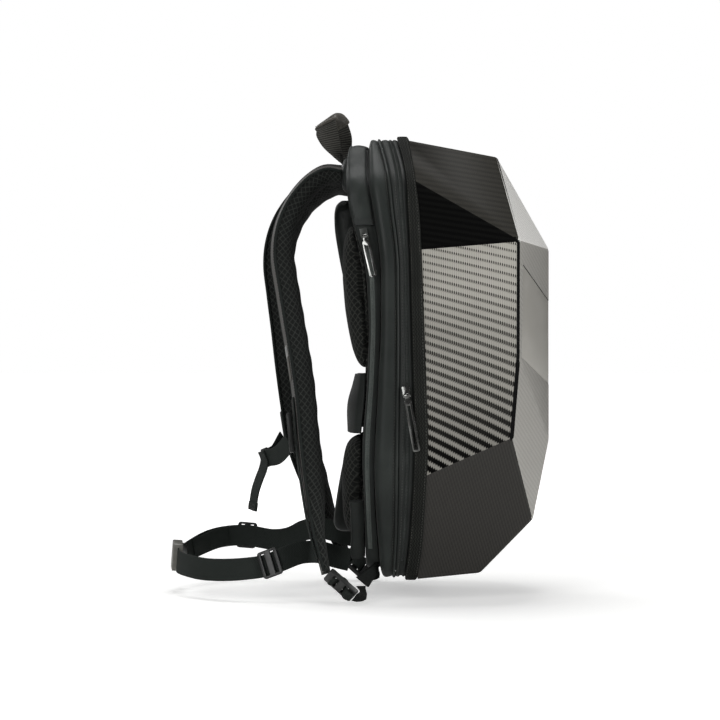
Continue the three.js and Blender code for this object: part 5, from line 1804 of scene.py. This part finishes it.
@dataclass
class HaulLoop:
    """The carrying loop over the top: webbing legs that turn a quarter, and a grip round the middle."""

    points: tuple = (
        (-50, 1.5, 219), (-49, 8, 230), (-46, 15, 243), (-41, 20, 257), (-30, 21, 267), (0, 17, 271),
        (30, 13, 269), (41, 10, 258), (46, 7, 243), (48, 4, 231), (49, 1.5, 219),
    )
    foot: float = 0.898
    width: float = 25 * MM
    thick: float = 1.6 * MM
    leg_share: float = 0.27
    lean: float = 0.6
    grip_span: tuple = (0.31, 0.69)
    grip_wall: float = 2.4 * MM
    grip_swell: float = 0.6
    grip_wave: tuple = (0.5 * MM, 14 * MM)
    feet: dict = field(default_factory=lambda: {"left": (0.0, 0.09), "right": (0.91, 1.0)})
    grip_seams: dict = field(default_factory=lambda: {"left": 0.335, "right": 0.665})

    def facing(self, share: float) -> tuple[float, float, float]:
        """The direction across the webbing: flat on the bag at the feet, upright along the grip.

        Args:
            share: where along the loop.

        Returns:
            The direction.
        """
        turn = min(min(share, 1 - share) / self.leg_share, 1) * math.pi / 2
        aside = (1 if share < 0.5 else -1) * math.cos(turn)
        return aside, -math.sin(turn) * math.cos(self.lean), math.sin(turn) * math.sin(self.lean)

    def build(self) -> None:
        """Makes the webbing, the grip and the seams at the feet."""
        lift = self.foot * HALF_HEIGHT / MM - self.points[0][2]
        stations = Route([(x, y, z + lift) for x, y, z in self.points], self.facing).stations(156)
        web = strap_of("haul_webbing", stations, self.width, self.thick, -self.thick / 2)
        settled(web, Finish.LEG_WEB.material(), ["haul_loop"])
        part = stations.part(*self.grip_span)
        share = (part.share - self.grip_span[0]) / (self.grip_span[1] - self.grip_span[0])
        high = self.thick / 2 + self.grip_wall * (1 + self.grip_swell * np.sin(math.pi * share))
        angle = np.linspace(0, math.tau, 32, endpoint=False)
        shape = np.stack([
            np.sign(np.cos(angle)) * np.abs(np.cos(angle)) ** 0.45,
            np.sign(np.sin(angle)) * np.abs(np.sin(angle)) ** 0.6,
        ], axis=1)
        half = self.width / 2 + self.grip_wall
        sections = shape[None] * np.stack([np.full(len(high), half), high], axis=1)[:, None, :]
        grip = smoothed(crumpled(swept("grip_sleeve", part, sections), *self.grip_wave), 60)
        settled(grip, Finish.GRIP.material(), ["haul_grip"])
        for word, span in self.feet.items():
            foot, lift = stations.part(*span), self.thick / 2 + 0.1 * MM
            box_seam(f"haul_box_{word}", foot, self.width, -lift)
            box_seam(f"haul_box_back_{word}", foot, self.width, lift)
        for word, share in self.grip_seams.items():
            self.cross_seam(f"grip_stitches_{word}", part, share, float(np.interp(share, part.share, high)))

    def cross_seam(self, name: str, stations: Stations, share: float, lift: float) -> None:
        """Stitches across the grip near its end, on both of its faces.

        Args:
            name: the piece's name.
            stations: the grip's stations.
            share: where along the loop.
            lift: how far out of the middle, in metres.
        """
        k = int(np.argmin(np.abs(stations.share - share)))
        aside = np.arange(-self.width / 2, self.width / 2 + 0.1 * MM, 3 * MM)
        across, out = stations.across[k], stations.out[k]
        line = stations.at[k] + aside[:, None] * across
        at = np.concatenate([line + out * lift, line - out * lift])
        along = np.repeat(across[None], len(at), axis=0)
        faces = np.repeat(np.stack([out, -out]), len(line), axis=0)
        obj = repeated(name, bead(*GRIP_STITCH), at, along, faces)
        settled(obj, Finish.THREAD.material())


@dataclass
class WaistBelt:
    """Padded wings, the belt webbing with its loose ends, glides and the buckle."""

    width: float = 25 * MM
    thick: float = 1.6 * MM
    lean: float = 0.3
    routes: dict = field(default_factory=lambda: {
        "left": (
            (-96, -10.9, -221), (-90, 5, -218), (-88, 22.6, -213.5), (-100, 44, -213), (-113, 67, -221),
            (-113, 82, -226.5), (-112, 100, -229.5), (-108, 123, -231.5), (-95, 149, -232.5),
            (-70, 173, -231), (-42, 189, -229), (-27.5, 192, -226.5),
        ),
        "right": (
            (96.5, -11.5, -213), (88, 5, -208), (80, 20, -203), (81, 39.5, -199.5), (96, 60, -204),
            (112, 80, -214), (114, 99, -216), (112, 131, -211), (102, 156, -212), (86, 174, -216),
            (44, 191, -225), (27.5, 193, -227),
        ),
    })
    tails: dict = field(default_factory=lambda: {"left": (0.42, 0.86), "right": (0.66, 0.9)})
    run_steps: int = 132
    tail_bow: float = 3.5 * MM
    tail_share: float = 0.94
    wing_span: tuple = (-0.66, -0.93)
    wing_wave: tuple = (1.0 * MM, 22 * MM)
    wing_size: tuple = (26, 22)
    wing_fill: float = 0.6
    wing_folds: tuple = (
        Fold(20, "rear", shift=0.8), Fold(16.6, "rear", shift=7), Fold(15.6, "rear", shift=13),
        Fold(17, "rear", shift=15), Fold(20.4, "rear", shift=15), Fold(23, "rear", shift=8),
        Fold(23.4, "rear", shift=0.8),
    )

    def build(self) -> None:
        """Makes both halves of the belt."""
        for word, side in SIDES.items():
            self.wing(word)
            self.webbing(word, side)
            fitting(f"tri_glide_{word}", f"glide_moulding_{word}", Finish.PLASTIC, 0.8 * MM)
            plate = Finish.PLATE if side < 0 else Finish.PLASTIC
            fitting(f"belt_buckle_{word}", f"buckle_moulding_{word}", plate, 1.2 * MM)

    def wing(self, word: str) -> None:
        """The padded wing on the bag's lower corner.

        Args:
            word: "left" or "right".
        """
        low = OUTLINE.height_at(self.wing_span[1] * HALF_HEIGHT)
        high = OUTLINE.height_at(self.wing_span[0] * HALF_HEIGHT)
        ends = (low, high) if word == "left" else (OUTLINE.length - high, OUTLINE.length - low)
        count, across = self.wing_size
        s = np.linspace(*ends, count)
        rows = blended(fold_lines(self.wing_folds, s), across)
        obj = crumpled(hoop(f"wing_pad_{word}", rows, s), *self.wing_wave)
        settled(smoothed(obj, 60), Finish.BODY.material(), [f"belt_wing_{word}"])

    def webbing(self, word: str, side: int) -> None:
        """One run of the belt, with its loose end folded back beside it.

        Args:
            word: "left" or "right".
            side: -1 on the wearer's left, 1 on the right.
        """
        hint = (self.lean if side < 0 else 0, 0, 1)
        stations = Route(self.routes[word], lambda t: hint).stations(self.run_steps)
        run = strap_of(f"belt_strap_{word}", stations, self.width, self.thick, -self.thick / 2)
        settled(run, Finish.WEB.material(), [f"belt_webbing_{word}"])
        start, end = self.tails[word]
        part = stations.part(start, end)
        bow = self.tail_bow * np.sin(math.pi * (part.share - start) / (end - start))
        near = self.thick / 2 + GAP + bow
        lifts = near if side > 0 else -near - self.thick
        width = self.width * self.tail_share
        sections = np.array([flat_section(width, self.thick, h) for h in lifts])
        tail = smoothed(swept(f"belt_end_{word}", part, sections), 60)
        settled(tail, Finish.WEB.material(), [f"belt_tail_{word}"])


def fitting(
    node: str, name: str, finish: Finish, edge: float, body: str = PACK
) -> Object:
    """A hard fitting: a welded copy of its CAD node with rounded edges.

    Args:
        node: the CAD node.
        name: the piece's name.
        finish: its material.
        edge: the rounding of its edges, in metres.
        body: the CAD body that it rides on.

    Returns:
        The dressed piece.
    """
    obj = copied(node, name)
    worked(obj, "BEVEL", width=edge, segments=3, limit_method="ANGLE", angle_limit=math.radians(35))
    return settled(smoothed(obj, 35), finish.material(), [node], body)


@dataclass
class SternumStrap:
    """The chest strap: rail clips, two lengths of webbing, the buckle and its loose end."""

    straps: ShoulderStraps
    share: float = 0.665
    width: float = 20 * MM
    thick: float = 1.6 * MM
    middle: tuple = (0.0, 91.0, -111.5)
    buckle_long: float = 20.0
    stand_off: float = GAP + 7.1 * MM
    from_clip: tuple = (-9.5, 3, 0)
    sag: tuple = (0, 2, -7)
    tail: tuple = (
        (-32, 95.8, -104), (-32, 92, -115), (-32, 93.4, -124), (-32, 97.6, -135), (-31, 102.5, -150),
        (-30, 105.6, -171),
    )
    tail_across: tuple = (1, 0.6, 0.25)

    def build(self) -> None:
        """Makes both halves and the loose end."""
        for word, side in SIDES.items():
            self.webbing(word, side)
            fitting(f"sternum_clip_{word}", f"rail_clip_{word}", Finish.PLASTIC, 0.7 * MM)
            fitting(f"sternum_buckle_{word}", f"chest_buckle_{word}", Finish.PLASTIC, 0.8 * MM)
        stations = Route(self.tail, lambda t: self.tail_across).stations(60)
        tail = strap_of("chest_strap_end", stations, self.width, self.thick, -self.thick / 2)
        settled(tail, Finish.WEB.material(), ["sternum_tail"])
        fold = stations.part(0.86, 1.0)
        folded = strap_of("chest_strap_hem", fold, self.width * 0.98, self.thick * 2.6, -self.thick * 1.3)
        settled(folded, Finish.WEB.material())
        box_seam("chest_hem_seam", fold, self.width, self.thick * 1.35)

    def webbing(self, word: str, side: int) -> None:
        """The webbing from a rail clip down to the buckle.

        Args:
            word: "left" or "right".
            side: -1 on the wearer's left, 1 on the right.
        """
        place = self.straps.stations(side, 22)
        k = int(np.argmin(np.abs(place.share - self.share)))
        centre = (place.at[k] + place.out[k] * self.stand_off) / MM
        middle = np.array(self.middle)
        near = middle + [side * (self.buckle_long + 0.6), 0, 0]
        x, y, z = self.from_clip
        start = centre + place.along[k] * 11 + [side * x, y, z]
        sag = start + (near - start) * 0.45 + self.sag
        points = [tuple(start), tuple(sag), tuple(near + [side * 10, 0, 0]), tuple(near)]
        stations = Route(points, lambda t: (0, 0.4, 1)).stations(60)
        strap = strap_of(f"chest_strap_{word}", stations, self.width, self.thick, -self.thick / 2)
        settled(strap, Finish.WEB.material(), [f"sternum_webbing_{word}"])


@dataclass
class LowerAnchors:
    """The ladder-locks under the straps, their webbing and the corner tabs."""

    fall: tuple = (0, -0.75, -0.66)
    tilt: float = 0.5
    weave: tuple = ((-12, -4.4), (-8.6, -3.6), (-6.4, 1.0), (-3.0, 4.0), (0, 4.4), (3.0, 4.0), (6.4, 1.0),
                    (8.6, -3.6), (13, -4.6), (17.5, -2.5))
    width: float = 24.4 * MM
    thick: float = 1.6 * MM

    def build(self) -> None:
        """Makes the anchors of both sides."""
        for word, side in SIDES.items():
            fitting(f"ladder_lock_{word}", f"lock_moulding_{word}", Finish.PLASTIC, 0.9 * MM)
            fitting(f"lower_webbing_{word}", f"lower_strap_{word}", Finish.TAB_WEB, 0.5 * MM)
            fitting(f"corner_tab_{word}", f"tab_fold_{word}", Finish.TAB_WEB, 0.8 * MM)
            self.threaded(word, side)

    def threaded(self, word: str, side: int) -> None:
        """The webbing that goes up through one slot of the lock, over its bar and down the other.

        Args:
            word: "left" or "right".
            side: -1 on the wearer's left, 1 on the right.
        """
        fall = Vector(self.fall).normalized()
        across = Matrix.Rotation(side * self.tilt, 3, fall) @ Vector((1, 0, 0))
        out = fall.cross(across).normalized()
        low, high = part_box(f"ladder_lock_{word}")
        centre = (low + high) / 2 / MM
        points = [tuple(centre + fall * x + out * z) for x, z in self.weave]
        stations = Route(points, lambda t: tuple(across)).stations(60)
        strap = strap_of(f"lock_webbing_{word}", stations, self.width, self.thick, -self.thick / 2)
        settled(strap, Finish.WEB.material())


@dataclass
class ZipperPulls:
    """The zipper sliders and the pulls that swing on them."""

    names: tuple = ("rear_left", "rear_right", "front")

    def build(self) -> None:
        """Dresses each slider and its pull."""
        for name in self.names:
            finish = Finish.CHROME if name == "front" else Finish.SLIDER
            fitting(f"slider_{name}", f"slider_casting_{name}", finish, 0.35 * MM)
            body = f"pull_{name}_body"
            fitting(f"pull_{name}", f"pull_casting_{name}", Finish.CHROME, 0.45 * MM, body)


# Studio
@dataclass
class Studio:
    """The floor, the soft lights and the camera at the photograph's place."""

    eye: tuple = (-2.4939, -0.1894, 0.0)
    heading: float = math.radians(4)
    lens: float = 108.8
    floor: float = -0.2665
    floor_radius: float = 40
    ambient: float = 0.1
    lights: tuple = (
        ("front_softbox", (-1.5, -2.6, 0.5), (0, -0.1, 0.0), 1.8, 48),
        ("side_softbox", (-2.6, 1.1, 1.0), (0, 0, 0.0), 1.4, 26),
        ("top_softbox", (0.2, 0.1, 2.6), (0, 0, 0), 1.6, 34),
        ("back_softbox", (1.6, 1.8, 1.2), (0, 0, 0), 1.4, 16),
    )

    def build(self) -> None:
        """Sets up the room."""
        bpy.ops.object.select_all(action="DESELECT")
        bpy.ops.mesh.primitive_circle_add(
            vertices=96, radius=self.floor_radius, fill_type="NGON", location=(0, 0, self.floor)
        )
        floor = bpy.context.object
        floor.name = "studio_floor"
        floor.data.materials.append(Floor().make())
        world = bpy.data.worlds.new("studio")
        world.use_nodes = True
        background = world.node_tree.nodes["Background"]
        rays = world.node_tree.nodes.new("ShaderNodeLightPath")
        seen = world.node_tree.nodes.new("ShaderNodeMapRange")
        seen.inputs["To Min"].default_value = self.ambient
        world.node_tree.links.new(rays.outputs["Is Camera Ray"], seen.inputs["Value"])
        world.node_tree.links.new(seen.outputs[0], background.inputs["Strength"])
        background.inputs["Color"].default_value = (1, 1, 1, 1)
        bpy.context.scene.world = world
        bpy.context.scene.view_settings.view_transform = "Standard"
        self.hang_lights()

    def hang_lights(self) -> None:
        """Hangs each soft light and aims it at the bag."""
        for name, place, target, size, power in self.lights:
            data = bpy.data.lights.new(name, "AREA")
            data.shape = "DISK"
            data.size = size
            data.energy = power
            lamp = bpy.data.objects.new(name, data)
            lamp.location = place
            lamp.rotation_mode = "QUATERNION"
            lamp.rotation_quaternion = (Vector(target) - Vector(place)).to_track_quat("-Z", "Y")
            bpy.context.scene.collection.objects.link(lamp)

    def camera(self) -> None:
        """Sets the camera up, level with the bag's middle."""
        data = bpy.data.cameras.new("camera")
        data.lens = self.lens
        data.sensor_width = 36
        camera = bpy.data.objects.new("camera", data)
        camera.location = self.eye
        camera.rotation_mode = "QUATERNION"
        ahead = Vector((math.cos(self.heading), math.sin(self.heading), 0))
        camera.rotation_quaternion = ahead.to_track_quat("-Z", "Y")
        bpy.context.scene.collection.objects.link(camera)
        bpy.context.scene.camera = camera


def main() -> None:
    """Builds the sub-assemblies in order."""
    logging.basicConfig(level=logging.INFO, format="%(name)s %(message)s")
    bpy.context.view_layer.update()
    studio = Studio()
    studio.camera()
    straps = ShoulderStraps()
    for part in (SideBands(), Shell(), BackPanel(), straps, HaulLoop(), WaistBelt(), SternumStrap(straps),
                 LowerAnchors(), ZipperPulls(), studio):
        part.build()
        log.info("%s is done", type(part).__name__)
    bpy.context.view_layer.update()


if __name__ == "__main__":
    main()
